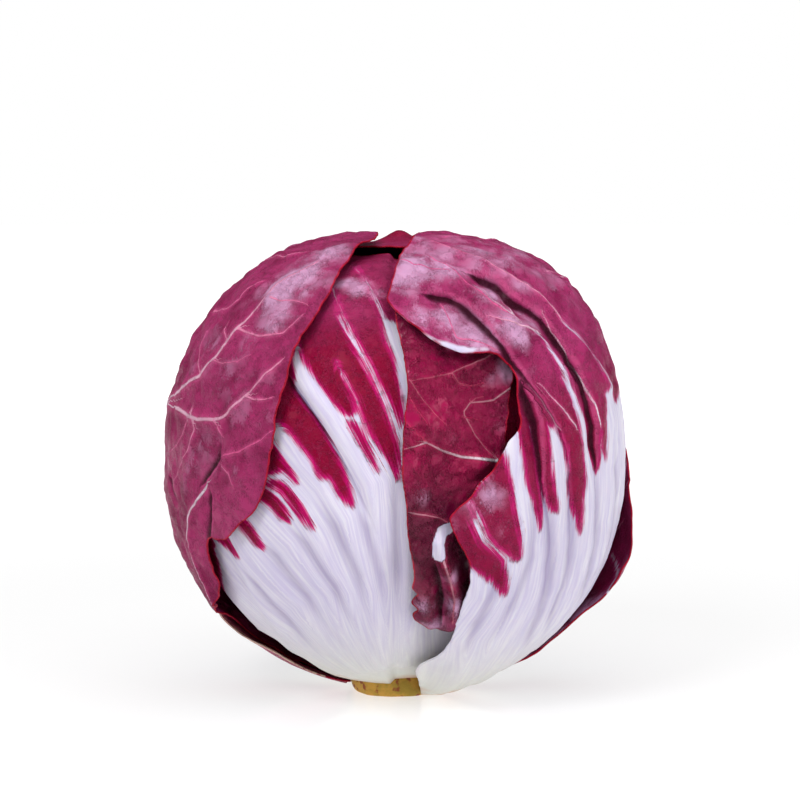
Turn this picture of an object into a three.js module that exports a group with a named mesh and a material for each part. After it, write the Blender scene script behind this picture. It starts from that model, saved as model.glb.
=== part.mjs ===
// A head of round red radicchio, standing on its cut stem.
//
// Millimetres, +Z up. The origin is the middle of the stem's flat cut face, the front is towards -Y and the
// right-hand side is +X. Every leaf is a thin curved shell that springs from the stem and wraps the head, and
// each is laid over the ones below it: the heart is innermost, then the front and back leaves, the crumpled
// middle leaf, the left and right wrapper leaves, and last the two low outer leaves at the back.
import * as THREE from "three";

// Driving dimensions
const HEAD_RADIUS = 59.5; // half the head's width
const HEAD_HALF_HEIGHT = 60;
const HEAD_CENTRE = new THREE.Vector3(0, 0, HEAD_HALF_HEIGHT);
const TOP_SQUARENESS = 2.35; // exponents of the head's profile: 2 is an ellipse, more is fuller
const BOTTOM_SQUARENESS = 2.05;
const LEAF_THICKNESS = 1.1;
const STEM_RADIUS = 11;
const STEM_NECK_RADIUS = 11.8;
const STEM_HEIGHT = 9.2;
const HEART_INSET = 9.4; // how far the heart lies inside the head's outside
const ROOT_RADIUS = 12.7; // where the leaves meet the stem

// How deep each layer of leaves lies inside the head's outside
const WRAPPER_INSET = 0.3;
const BACK_INSET = 3;
const FRONT_INSET = 3.4;
const MIDDLE_INSET = 4.1;
const OUTER_INSET = -1.9;

// The front view that the outlines are drawn on: points of 0.26 mm, seen from 750 mm away and 7 degrees above
const VIEW_POINT_SIZE = 0.26;
const VIEW_CENTRE = [395, 462];
const VIEW_DISTANCE = 750;
const VIEW_ELEVATION = THREE.MathUtils.degToRad(7);

// Mesh fineness
const EDGE_STEP = 4.6;
const RIB_STEP = 7.5;
const RIB_FLANK = 3.2;
const FILL_STEP = 8.2;
const MIN_SPACING = 3.4;

const { sin, cos, abs, hypot, exp, PI } = Math;
const clamp = THREE.MathUtils.clamp;
const smooth = (x, low, high) => THREE.MathUtils.smoothstep(x, low, high);
const bell = (distance, width) => exp(-((distance / width) ** 2));

// Directions from the head's centre

// Longitude runs from the front (0) to the right (90), and latitude from the stem (-90) to the top (90).
function polar(longitude, latitude) {
  const lon = THREE.MathUtils.degToRad(longitude);
  const lat = THREE.MathUtils.degToRad(latitude);
  return new THREE.Vector3(sin(lon) * cos(lat), -cos(lon) * cos(lat), sin(lat));
}

function anglesOf(direction) {
  return {
    lon: THREE.MathUtils.radToDeg(Math.atan2(direction.x, -direction.y)),
    lat: THREE.MathUtils.radToDeg(Math.asin(clamp(direction.z, -1, 1))),
  };
}

// The distance from the head's centre to its outside.
function headRadius(direction) {
  const n = direction.z > 0 ? TOP_SQUARENESS : BOTTOM_SQUARENESS;
  const across = hypot(direction.x, direction.y) / HEAD_RADIUS;
  const up = abs(direction.z) / HEAD_HALF_HEIGHT;
  return (across ** n + up ** n) ** (-1 / n);
}

// The direction of a point of the front view, on a layer at the given inset.
function seen(x, y, inset) {
  const back = new THREE.Vector3(0, -cos(VIEW_ELEVATION), sin(VIEW_ELEVATION));
  const up = new THREE.Vector3(0, sin(VIEW_ELEVATION), cos(VIEW_ELEVATION));
  const eye = back.clone().multiplyScalar(VIEW_DISTANCE);
  const target = up.multiplyScalar((VIEW_CENTRE[1] - y) * VIEW_POINT_SIZE);
  target.x += (x - VIEW_CENTRE[0]) * VIEW_POINT_SIZE;
  const ray = target.sub(eye).normalize();
  const along = -eye.dot(ray);
  const nearest = eye.clone().addScaledVector(ray, along);
  let hit = nearest.clone();
  let radius = HEAD_RADIUS - inset;
  for (let i = 0; i < 8; i++) {
    const half = Math.sqrt(Math.max(radius ** 2 - nearest.lengthSq(), 0));
    hit = nearest.clone().addScaledVector(ray, -half);
    radius = headRadius(hit.clone().normalize()) - inset;
  }
  return hit.normalize();
}

// The edge of a leaf against the stem, from one longitude to another.
function root(from, to, inset) {
  const latitude = THREE.MathUtils.radToDeg(Math.acos(ROOT_RADIUS / (HEAD_HALF_HEIGHT - inset)));
  const steps = Math.round(abs(to - from) / 12);
  return Array.from({ length: steps + 1 }, (_, i) => ["polar", from + ((to - from) * i) / steps, -latitude]);
}

// An outline or line given as [x, y] points of the front view, or as ["polar", longitude, latitude].
function directionsOf(points, inset) {
  return points.map((p) => (p[0] === "polar" ? polar(p[1], p[2]) : seen(p[0], p[1], inset)));
}

// The distance in mm over the head from a direction to a line of directions, which side of the line it is on
// (right of the way the line runs is positive, seen from outside), and how far along the line it is, 0 to 1.
function toLine(direction, line) {
  let best = { distance: Infinity, side: 1, along: 0 };
  const p = direction.clone().multiplyScalar(HEAD_RADIUS);
  for (let i = 0; i + 1 < line.length; i++) {
    const a = line[i].clone().multiplyScalar(HEAD_RADIUS);
    const b = line[i + 1].clone().multiplyScalar(HEAD_RADIUS);
    const run = b.clone().sub(a);
    const t = clamp(p.clone().sub(a).dot(run) / run.lengthSq(), 0, 1);
    const off = p.clone().sub(a.clone().addScaledVector(run, t));
    if (off.length() < best.distance) {
      const side = run.clone().cross(off).dot(direction) > 0 ? -1 : 1;
      best = { distance: off.length(), side, along: (i + t) / (line.length - 1) };
    }
  }
  return best;
}

const distanceTo = (direction, point) => HEAD_RADIUS * direction.angleTo(point);

// Creases and ribs

// Valleys between pleats, as x, y and half width in points of the front view, from the top down. The sheet runs
// in on the left of the view and comes out steeply on its right.
const RIGHT_PLEATS = [
  [
    [468, 274, 1.5], [482, 278, 4], [495, 283, 4.5], [503, 290, 4.5], [510, 298, 5], [520, 304, 4.5],
    [530, 309, 3.6], [540, 318, 3.2], [550, 331, 3.5], [558, 342, 3.5], [566, 353, 3.5], [573, 363, 4],
    [579, 375, 3.6], [585, 388, 3], [590, 402, 3], [593, 420, 3.4], [595, 440, 3.6], [596, 458, 2.6],
    [596, 475, 0.9], [597, 520, 0.6], [596, 560, 0.3],
  ],
  [
    [420, 293, 0.8], [432, 293, 3], [442, 295, 3.5], [452, 299, 3.5], [460, 303, 3.5], [468, 308, 4],
    [475, 315, 4], [483, 323, 3.6], [490, 332, 3], [497, 340, 2.6], [503, 347, 3], [510, 356, 3],
    [517, 366, 3], [524, 376, 2.2], [533, 388, 1.8], [540, 398, 1.6], [548, 411, 1.5], [558, 427, 1.3],
    [563, 442, 1.3], [568, 462, 1.3], [571, 485, 1.5], [572, 515, 1.3], [571, 550, 0.8], [566, 590, 0.4],
  ],
  [
    [522, 382, 2], [527, 395, 4], [532, 408, 5], [537, 422, 4.6], [539, 440, 4], [541, 460, 3],
    [542, 480, 2.2], [546, 500, 1.8], [550, 520, 1.5], [551, 545, 1.3], [547, 570, 1], [544, 595, 0.7],
    [538, 614, 0.4],
  ],
].map((points) => valley(points, WRAPPER_INSET));
const FRONT_PLEATS = [
  [
    [284, 370, 0.6], [290, 383, 2.2], [303, 401, 2.6], [316, 419, 2.2], [328, 438, 2], [340, 458, 1.8],
    [350, 477, 1.6], [360, 497, 1.2], [372, 520, 0.7], [381, 545, 0.2],
  ],
].map((points) => valley(points, FRONT_INSET));
const PLEAT_RUN_IN = 3.8; // the slope that runs in
const PLEAT_EDGE = 1.2; // the rounded edge that it runs in under
const PLEAT_DEPTH = 0.62; // mm for each point of half width

function valley(points, inset) {
  return { line: directionsOf(points, inset), widths: points.map(([, , width]) => width) };
}

function pleatInset(direction, pleats) {
  let inset = 0;
  for (const { line, widths } of pleats) {
    const { distance, side, along } = toLine(direction, line);
    const at = along * (widths.length - 1);
    const before = Math.min(Math.floor(at), widths.length - 2);
    const width = THREE.MathUtils.lerp(widths[before], widths[before + 1], at - before);
    inset = Math.max(inset, PLEAT_DEPTH * width * bell(distance, side < 0 ? PLEAT_EDGE : PLEAT_RUN_IN));
  }
  return inset;
}

// The fold in the left wrapper leaf
const LEFT_CREASE = directionsOf(
  [[223, 436], [219, 456], [210, 476], [208, 500], [208, 530], [208, 556], [214, 582]],
  WRAPPER_INSET,
);

// Main ribs of the front leaf, as they run up from the stem
const FRONT_RIBS = [
  [[404, 668], [408, 600], [412, 520], [409, 420], [404, 375], [392, 345], [382, 315], [370, 290], [356, 266]],
  [[400, 664], [404, 600], [405, 520], [401, 442], [390, 410], [372, 372], [350, 333], [338, 305], [333, 290]],
  [[396, 662], [398, 590], [392, 480], [370, 440], [356, 400], [343, 375]],
  [[390, 664], [384, 590], [372, 485], [350, 446], [331, 418], [315, 397], [303, 375], [297, 354]],
  [[386, 664], [368, 592], [344, 520], [322, 486], [302, 464], [284, 438]],
  [[380, 666], [345, 592], [318, 545], [300, 515], [282, 492], [262, 480]],
  [[370, 668], [330, 595], [290, 545], [256, 512]],
  [[360, 670], [300, 606], [255, 560], [238, 538]],
  [[352, 673], [290, 632], [245, 600], [214, 566]],
].map((points) => directionsOf(points, FRONT_INSET));

// Ribs of a leaf that nothing shows the front of: a fan from the stem, spreading about the midrib.
function fanOfRibs(middle, spread, count, top) {
  const ribs = [];
  for (let i = 0; i < count; i++) {
    const lean = (2 * i) / (count - 1) - 1;
    const rib = [];
    for (let j = 0; j <= 6; j++) {
      const up = j / 6;
      rib.push(polar(middle + spread * lean * (0.25 + 0.75 * up), -70 + (top + 70 - 18 * abs(lean)) * up));
    }
    ribs.push(rib);
  }
  return ribs;
}

const BACK_RIBS = fanOfRibs(180, 46, 5, 60);
const OUTER_LEFT_RIBS = fanOfRibs(-138, 48, 7, 18);
const OUTER_RIGHT_RIBS = fanOfRibs(138, 44, 7, 26);

const RIB_HEIGHT = 0.9;
const RIB_WIDTH = 2.6;

function ribRelief(direction, ribs) {
  let relief = 0;
  for (const rib of ribs) {
    const { distance, along } = toLine(direction, rib);
    relief = Math.max(relief, RIB_HEIGHT * (1 - 0.7 * along) * bell(distance, RIB_WIDTH));
  }
  return relief;
}

// The leaves

const RIGHT_RIBS = [
  [[440, 690], [470, 640], [500, 600], [505, 558], [485, 537], [471, 505]],
  [[452, 690], [490, 640], [515, 590], [524, 540], [516, 480], [519, 430]],
  [[480, 684], [524, 640], [548, 590], [556, 540], [560, 490], [556, 440], [546, 410], [530, 385], [505, 350]],
  [
    [510, 676], [560, 620], [584, 560], [592, 510], [590, 470], [586, 430], [574, 390], [552, 352],
    [520, 328], [488, 317],
  ],
  [
    [540, 652], [590, 590], [606, 520], [609, 470], [612, 420], [600, 375], [578, 345], [556, 322],
    [520, 288], [470, 261], [430, 250],
  ],
  [[575, 620], [612, 560], [626, 490], [628, 440], [621, 380], [600, 330], [577, 297], [541, 278]],
].map((points) => directionsOf(points, WRAPPER_INSET));

const LEFT_RIBS = [
  [["polar", -100, -60], ["polar", -96, -20], [169, 403], [205, 370], [238, 328], [268, 296], [318, 264]],
  [[169, 403], [196, 421], [220, 418], [250, 395], [290, 354]],
].map((points) => directionsOf(points, WRAPPER_INSET));

// Ridges, and hollows with a height below nothing, as a height, a width and a line.
function folds(inset, list) {
  return list.map(([height, width, ...points]) => ({ height, width, line: directionsOf(points, inset) }));
}

const MIDDLE_FOLDS = folds(MIDDLE_INSET, [
  [1.5, 2.2, [414, 545], [420, 575], [426, 600], [432, 616]],
  [2.6, 2.4, [437, 540], [444, 562], [454, 588], [456, 604], [448, 620]],
  [-1.2, 1.8, [434, 565], [441, 585], [440, 606]],
  [-1.3, 2.4, [454, 546], [463, 566], [467, 584]],
  [0.7, 2.2, [409, 386], [430, 381], [450, 376], [465, 368], [480, 361], [495, 352]],
  [0.6, 2.2, [426, 444], [440, 451], [460, 457], [480, 460], [497, 461]],
]);
const LEFT_FOLDS = folds(WRAPPER_INSET, [
  [-0.5, 1.5, [220, 437], [220, 452], [216, 464], [208, 469], [203, 482]],
  [-0.5, 1.5, [206, 488], [206, 505], [208, 541], [208, 555], [210, 570], [215, 584]],
  [0.8, 1.3, [208, 484], [202, 497], [194, 511], [191, 527], [193, 545], [199, 563], [209, 585], [218, 602]],
  [-0.9, 1.6, [172, 478], [177, 502]],
  [-0.9, 2.8, ["polar", -93, -15], ["polar", -94, 14], ["polar", -95, 38]],
]);
const RIGHT_FOLDS = folds(WRAPPER_INSET, [
  [0.8, 1.5, [388, 305], [400, 318], [412, 330], [425, 338], [440, 345], [455, 350], [470, 352], [485, 351]],
  [0.8, 1.8, [430, 246], [465, 258], [490, 272], [520, 288], [545, 310], [565, 333], [590, 360], [607, 388]],
  [0.8, 1.6, [428, 260], [450, 273], [470, 289], [490, 305], [512, 321], [535, 335], [552, 352], [568, 378]],
  [-0.8, 1.8, [436, 297], [444, 310], [452, 325], [457, 338]],
  [-0.9, 2.8, ["polar", 94, -20], ["polar", 94, 10], ["polar", 93, 32]],
]);
const BACK_FOLDS = folds(BACK_INSET, [
  [1.2, 3.4, ["polar", 168, 30], ["polar", 166, 55], ["polar", 150, 76]],
  [1.0, 3.0, ["polar", 192, 30], ["polar", 196, 52], ["polar", 215, 74]],
]);
const OUTER_LEFT_FOLDS = folds(OUTER_INSET, [
  [1.3, 3.2, ["polar", -128, -40], ["polar", -130, -10], ["polar", -136, 16]],
  [1.1, 3.0, ["polar", -160, -40], ["polar", -164, -5], ["polar", -166, 24]],
  [1.0, 2.8, ["polar", -184, -35], ["polar", -188, 0], ["polar", -186, 18]],
]);
const OUTER_RIGHT_FOLDS = folds(OUTER_INSET, [
  [1.2, 3.0, ["polar", 104, -45], ["polar", 106, -20], ["polar", 110, 6]],
  [1.2, 3.0, ["polar", 124, -40], ["polar", 124, -5], ["polar", 122, 24]],
]);
const linesOf = (list) => list.map(({ line }) => line);

function foldRelief(direction, list) {
  return list.reduce((sum, fold) => sum + fold.height * bell(toLine(direction, fold.line).distance, fold.width), 0);
}

const RIGHT_SHOULDER = polar(84, 50);
const RIGHT_FLARE = polar(88, -24);
const LEFT_SHOULDER = polar(-72, 42);
const BASE_BULGE = polar(32, -68);
const TOP_LIP = seen(399, 236, BACK_INSET);

const LEAVES = {
  leaf_front: {
    colour: 0xd9cfdc,
    centre: polar(-20, 0),
    inset: FRONT_INSET,
    ribs: FRONT_RIBS,
    creases: linesOf(FRONT_PLEATS),
    outline: [
      ...root(-58, 34, 2.5), ["polar", 36, -60], ["polar", 38, -40], ["polar", 42, -12], ["polar", 44, 15],
      ["polar", 42, 40], ["polar", 34, 60], ["polar", 14, 73], ["polar", -12, 76.5], ["polar", -36, 75],
      ["polar", -58, 64], ["polar", -72, 45], ["polar", -80, 20], ["polar", -80, -8], ["polar", -80, -30],
      ["polar", -79, -43], [247, 629], [280, 645], [308, 661], [334, 673],
    ],
    // It passes under the middle leaf on the right and the left wrapper's fold, and sinks in at the top.
    shape: (d, { lon, lat }) =>
      FRONT_INSET +
      1.3 * smooth(lon, -6, 1) +
      2.9 * smooth(lon, 3, 16) * smooth(lat, -55, -43) +
      1.2 * smooth(-lon, 45, 54) * smooth(lat, -56, -46) +
      1.4 * smooth(lat, 55, 72) * (1 - smooth(lon, 0, 18)) -
      0.7 * smooth(-lat, 58, 72) +
      pleatInset(d, FRONT_PLEATS) -
      ribRelief(d, FRONT_RIBS) * (1 - smooth(lon, -4, 2) * smooth(lat, -60, -50)) * (1 - smooth(-lon, 42, 50)),
  },
  leaf_back: {
    colour: 0x9c2f63,
    centre: polar(180, 20),
    inset: BACK_INSET,
    ribs: [...BACK_RIBS, ...linesOf(BACK_FOLDS)],
    outline: [
      ...root(128, 232, BACK_INSET + 1.2), ["polar", 246, -50], ["polar", 252, -10], ["polar", 256, 30],
      ["polar", 268, 58], ["polar", 300, 74], ["polar", 335, 79.5], ["polar", 0, 80.5], ["polar", 22, 79.5],
      ["polar", 56, 74], ["polar", 90, 58], ["polar", 102, 30], ["polar", 108, -10], ["polar", 114, -50],
    ],
    // It comes over the top and turns up in a small lip.
    shape: (d) => {
      const lip = bell(distanceTo(d, TOP_LIP), 4.2);
      const low = smooth(-anglesOf(d).lat, 28, 46);
      const ribs = 0.8 * ribRelief(d, BACK_RIBS) * (1 - low);
      return BACK_INSET - 2.9 * lip + 1.3 * low - ribs - foldRelief(d, BACK_FOLDS);
    },
  },
  leaf_middle: {
    colour: 0x7a1038,
    centre: polar(24, -15),
    inset: 3,
    ribs: linesOf(MIDDLE_FOLDS),
    outline: [
      [394, 308], [400, 342], [405, 365], [408, 395], [404, 425], [402, 465], [405, 500], [408, 535],
      [412, 570], [411, 585], [416, 591], [411, 600], [417, 606], [413, 614], [433, 626], [446, 629], [458, 622],
      ["polar", 26, -45], ["polar", 27, -60], ...root(30, 54, 2.6), ["polar", 50, -55], ["polar", 42, -25],
      [522, 480], [507, 440], [512, 410], [514, 388], [517, 372], [512, 352], [488, 334], [460, 333],
      [430, 320], [406, 300],
    ],
    // The left edge lies on the front leaf, the middle is pushed in, and the tongue hangs out at the bottom.
    shape: (d, { lon, lat }) =>
      2.4 +
      (MIDDLE_INSET - 2.4) * Math.max(smooth(lon, 4, 15) * smooth(lat, -30, -16), smooth(lon, 9, 14)) +
      1.2 * smooth(lon, 16, 26) * smooth(lat, -32, -18) -
      2.3 * smooth(-lat, 48, 62) -
      foldRelief(d, MIDDLE_FOLDS),
  },
  leaf_left: {
    colour: 0xa9537f,
    centre: polar(-95, 5),
    inset: WRAPPER_INSET,
    ribs: LEFT_RIBS,
    creases: [LEFT_CREASE, ...linesOf(LEFT_FOLDS)],
    outline: [
      ["polar", -90, -60], ["polar", -88, -46], [219, 592], [210, 568], [207, 542], [226, 538], [242, 523],
      [256, 508], [266, 484], [272, 452], [281, 406], [288, 374], [300, 343], [318, 312], [334, 284],
      [345, 264], [354, 250], [372, 239], ["polar", -40, 84], ["polar", -110, 80], ["polar", -138, 62],
      ["polar", -148, 35], ["polar", -150, 5], ["polar", -147, -25], ["polar", -142, -52],
      ...root(-136, -92, WRAPPER_INSET + 1.7),
    ],
    shape: (d, { lat }) => {
      const { distance, along } = toLine(d, LEFT_CREASE);
      const crease = 0.8 * smooth(along, 0, 0.2) * bell(distance, 2.6) - foldRelief(d, LEFT_FOLDS);
      const flattened = 1.5 * bell(distanceTo(d, LEFT_SHOULDER), 24);
      return WRAPPER_INSET + crease + flattened + 1.9 * smooth(-lat, 34, 50) - 0.6 * ribRelief(d, LEFT_RIBS);
    },
  },
  leaf_right: {
    colour: 0xc9a3bb,
    centre: polar(68, 0),
    inset: WRAPPER_INSET,
    ribs: RIGHT_RIBS,
    creases: linesOf([...RIGHT_PLEATS, ...RIGHT_FOLDS]),
    outline: [
      [418, 682], [419, 672], [440, 655], [457, 623], [467, 596], [469, 565], [458, 541], [448, 518],
      [456, 509], [470, 498], [481, 482], [499, 462], [508, 443], [519, 428], [524, 414], [520, 386],
      [514, 364], [498, 353], [480, 355], [455, 352], [430, 341], [405, 320], [388, 303], [391, 284],
      [396, 265], [402, 252], [411, 243], ["polar", 24, 79], ["polar", 60, 82], ["polar", 105, 76],
      ["polar", 128, 58], ["polar", 136, 30], ["polar", 138, 0], ["polar", 136, -30], ["polar", 131, -55],
      ...root(124, 76, WRAPPER_INSET + 1.7), ...root(66, 34, WRAPPER_INSET - 0.8),
    ],
    shape: (d, { lon, lat }) =>
      WRAPPER_INSET +
      pleatInset(d, RIGHT_PLEATS) -
      1.0 * bell(distanceTo(d, BASE_BULGE), 16) -
      1.8 * bell(distanceTo(d, RIGHT_SHOULDER), 20) -
      foldRelief(d, RIGHT_FOLDS) +
      1.7 * smooth(-lat, 50, 66) * smooth(lon, 66, 84) +
      1.5 * (1 - smooth(lon, 15, 27)) * smooth(-lat, 44, 54) -
      0.7 * ribRelief(d, RIGHT_RIBS),
  },
  leaf_outer_left: {
    colour: 0xcdbfcb,
    centre: polar(-135, -25),
    inset: OUTER_INSET,
    ribs: [...OUTER_LEFT_RIBS, ...linesOf(OUTER_LEFT_FOLDS)],
    outline: [
      ["polar", -66, -70], ["polar", -72, -60], ["polar", -79, -51],
      ["polar", -88, -44], ["polar", -98, -36], ["polar", -105, -20], ["polar", -112, 0],
      ["polar", -124, 18], ["polar", -144, 30], ["polar", -168, 34], ["polar", -190, 26],
      ["polar", -200, 2], ["polar", -200, -30], ["polar", -194, -58], ...root(-184, -68, 0.4),
    ],
    shape: (d, { lon, lat }) => {
      const around = ((lon + 360) % 360) - 360;
      const front = smooth(around, -125, -98) * smooth(-lat, 34, 52);
      const tucked = 1.4 * smooth(around, -92, -80) * smooth(-lat, 48, 58);
      const low = Math.max(2 * smooth(-lat, 52, 68), 2.1 * front) + tucked;
      const ribs = ribRelief(d, OUTER_LEFT_RIBS) * (1 - front);
      return OUTER_INSET + low - ribs - foldRelief(d, OUTER_LEFT_FOLDS);
    },
  },
  leaf_outer_right: {
    colour: 0xcdbfcb,
    centre: polar(142, -20),
    inset: OUTER_INSET,
    ribs: [...OUTER_RIGHT_RIBS, ...linesOf(OUTER_RIGHT_FOLDS)],
    outline: [
      ["polar", 86, -66], ["polar", 85, -50], ["polar", 86, -38], ["polar", 84, -30], ["polar", 86, -20],
      ["polar", 92, -8], ["polar", 103, 6], ["polar", 115, 26], ["polar", 135, 38], ["polar", 160, 44],
      ["polar", 184, 38], ["polar", 202, 18], ["polar", 206, -10], ["polar", 202, -42],
      ["polar", 192, -66], ...root(178, 92, 1.8),
    ],
    // Its left part lies under the outer left leaf, and its free right edge stands away from the head.
    shape: (d, { lon, lat }) =>
      OUTER_INSET +
      2.1 * smooth((lon + 360) % 360, 138, 152) +
      1.9 * smooth(-lat, 52, 68) -
      4.2 * bell(distanceTo(d, RIGHT_FLARE), 12) -
      ribRelief(d, OUTER_RIGHT_RIBS) * (1 - smooth((lon + 360) % 360, 130, 145)) -
      foldRelief(d, OUTER_RIGHT_FOLDS),
  },
};

// The rippled margin that every leaf has: a wave in and out, strongest at the edge.
const RIPPLE_HEIGHT = 0.35;
const RIPPLE_LENGTH = 13;
const RIPPLE_REACH = 4;

// A flat map of the sphere of directions round one direction, true to distance from it.
function chartRound(centre) {
  const east = new THREE.Vector3(0, 0, 1).cross(centre).normalize();
  const north = centre.clone().cross(east);
  return {
    flat(direction) {
      const angle = centre.angleTo(direction);
      const e = direction.dot(east);
      const n = direction.dot(north);
      const scale = (HEAD_RADIUS * angle) / Math.max(hypot(e, n), 1e-9);
      return new THREE.Vector2(e * scale, n * scale);
    },
    direction(p) {
      const angle = p.length() / HEAD_RADIUS;
      const across = p.length() > 1e-9 ? sin(angle) / p.length() : 0;
      return centre
        .clone()
        .multiplyScalar(cos(angle))
        .addScaledVector(east, p.x * across)
        .addScaledVector(north, p.y * across);
    },
  };
}

function closedOutline(points, step) {
  const curve = new THREE.CatmullRomCurve3(
    points.map((p) => new THREE.Vector3(p.x, p.y, 0)),
    true,
    "centripetal",
  );
  const count = Math.round(curve.getLength() / step);
  return curve.getSpacedPoints(count).slice(0, count).map((p) => new THREE.Vector2(p.x, p.y));
}

function inside(p, polygon) {
  let odd = false;
  polygon.forEach((a, i) => {
    const b = polygon[(i + 1) % polygon.length];
    if (a.y > p.y !== b.y > p.y && p.x < ((b.x - a.x) * (p.y - a.y)) / (b.y - a.y) + a.x) odd = !odd;
  });
  return odd;
}

// The distance to a closed polygon's edge, and how far round the edge the nearest point is.
function toEdge(p, polygon) {
  let best = { distance: Infinity, round: 0 };
  let length = 0;
  polygon.forEach((a, i) => {
    const run = polygon[(i + 1) % polygon.length].clone().sub(a);
    const t = clamp(p.clone().sub(a).dot(run) / run.lengthSq(), 0, 1);
    const distance = p.distanceTo(a.clone().addScaledVector(run, t));
    if (distance < best.distance) best = { distance, round: length + t * run.length() };
    length += run.length();
  });
  return best;
}

// Bowyer and Watson's Delaunay triangulation of points in the plane.
function triangulate(points) {
  const far = 1e4;
  const all = [...points, new THREE.Vector2(-far, -far), new THREE.Vector2(far, -far), new THREE.Vector2(0, far)];
  const circle = (t) => {
    const [a, b, c] = t.map((i) => all[i]);
    const d = 2 * (a.x * (b.y - c.y) + b.x * (c.y - a.y) + c.x * (a.y - b.y));
    const [a2, b2, c2] = [a, b, c].map((p) => p.lengthSq());
    const x = (a2 * (b.y - c.y) + b2 * (c.y - a.y) + c2 * (a.y - b.y)) / d;
    const y = (a2 * (c.x - b.x) + b2 * (a.x - c.x) + c2 * (b.x - a.x)) / d;
    return { t, x, y, r: hypot(a.x - x, a.y - y) };
  };
  let triangles = [circle([points.length, points.length + 1, points.length + 2])];
  points.forEach((p, index) => {
    const edges = new Map();
    triangles = triangles.filter(({ t, x, y, r }) => {
      if (hypot(p.x - x, p.y - y) >= r) return true;
      for (let k = 0; k < 3; k++) {
        const pair = [t[k], t[(k + 1) % 3]];
        const key = [...pair].sort((m, n) => m - n).join();
        if (edges.has(key)) edges.set(key, null);
        else edges.set(key, pair);
      }
      return false;
    });
    for (const pair of edges.values()) if (pair) triangles.push(circle([...pair, index]));
  });
  return triangles
    .map(({ t }) => t)
    .filter((t) => t.every((i) => i < points.length))
    .map((t) => {
      const [a, b, c] = t.map((i) => points[i]);
      return b.clone().sub(a).cross(c.clone().sub(a)) > 0 ? t : [t[0], t[2], t[1]];
    });
}

// Mesh points along a rib or crease, with a row on either flank.
function pointsAlong(line, chart, flank) {
  const curve = new THREE.CatmullRomCurve3(line.map((d) => new THREE.Vector3(...chart.flat(d).toArray(), 0)));
  const count = Math.max(2, Math.round(curve.getLength() / RIB_STEP));
  const rows = [];
  for (let i = 0; i <= count; i++) {
    const p = curve.getPointAt(i / count);
    const tangent = curve.getTangentAt(i / count);
    for (const side of [0, -1, 1])
      rows.push(new THREE.Vector2(p.x - tangent.y * side * flank, p.y + tangent.x * side * flank));
  }
  return rows;
}

// One leaf as a closed thin shell.
function leafGeometry(leaf, thickness = LEAF_THICKNESS) {
  const chart = chartRound(leaf.centre);
  const outline = directionsOf(leaf.outline, leaf.inset).map(chart.flat);
  const polygon = closedOutline(outline, EDGE_STEP);

  const points = [...polygon];
  const addIfClear = (p, margin) => {
    if (!inside(p, polygon) || toEdge(p, polygon).distance < margin) return;
    if (points.every((q) => q.distanceTo(p) > margin)) points.push(p);
  };
  for (const line of [...(leaf.creases ?? []), ...leaf.ribs])
    pointsAlong(line, chart, RIB_FLANK).forEach((p) => addIfClear(p, MIN_SPACING * 0.8));
  const reach = 200;
  for (let row = 0; row * FILL_STEP * 0.87 < 2 * reach; row++)
    for (let x = -reach; x < reach; x += FILL_STEP) {
      const nudge = 0.2 * sin(row * 12.9 + x * 78.2);
      const p = new THREE.Vector2(x + (row % 2) * FILL_STEP * 0.5 + nudge, row * FILL_STEP * 0.87 - reach + nudge);
      addIfClear(p, FILL_STEP * 0.6);
    }

  const middle = ([a, b, c]) => points[a].clone().add(points[b]).add(points[c]).divideScalar(3);
  const faces = triangulate(points).filter((t) => inside(middle(t), polygon));

  const surface = (p) => {
    const direction = chart.direction(p);
    const { distance, round } = toEdge(p, polygon);
    const root = smooth(-anglesOf(direction).lat, 45, 65);
    const ripple = RIPPLE_HEIGHT * sin((2 * PI * round) / RIPPLE_LENGTH) * exp(-distance / RIPPLE_REACH) * (1 - root);
    const radius = headRadius(direction) - leaf.shape(direction, anglesOf(direction)) + ripple;
    return HEAD_CENTRE.clone().addScaledVector(direction, radius);
  };
  const h = 1.5;
  const outer = points.map(surface);
  const inner = points.map((p, i) => {
    const dx = surface(new THREE.Vector2(p.x + h, p.y)).sub(surface(new THREE.Vector2(p.x - h, p.y)));
    const dy = surface(new THREE.Vector2(p.x, p.y + h)).sub(surface(new THREE.Vector2(p.x, p.y - h)));
    return outer[i].clone().addScaledVector(dx.cross(dy).normalize(), -thickness);
  });

  const count = points.length;
  const index = [];
  const open = new Map();
  for (const [a, b, c] of faces) {
    index.push(a, b, c, c + count, b + count, a + count);
    for (const [m, n] of [[a, b], [b, c], [c, a]]) {
      if (!open.delete(n + "," + m)) open.set(m + "," + n, [m, n]);
    }
  }
  for (const [m, n] of open.values()) index.push(n, m, m + count, n, m + count, n + count);
  const used = [...outer, ...inner].flatMap((p) => p.toArray());
  const geometry = new THREE.BufferGeometry();
  geometry.setAttribute("position", new THREE.Float32BufferAttribute(used, 3));
  geometry.setIndex(index);
  return geometry.toNonIndexed();
}

// The heart: the tight core of small leaves, whose margins wind round it in low steps.
const HEART_STEPS = 5;
const HEART_STEP_HEIGHT = 1.1;
const HEART_SEGMENTS = 40;
const HEART_RINGS = 22;

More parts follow.
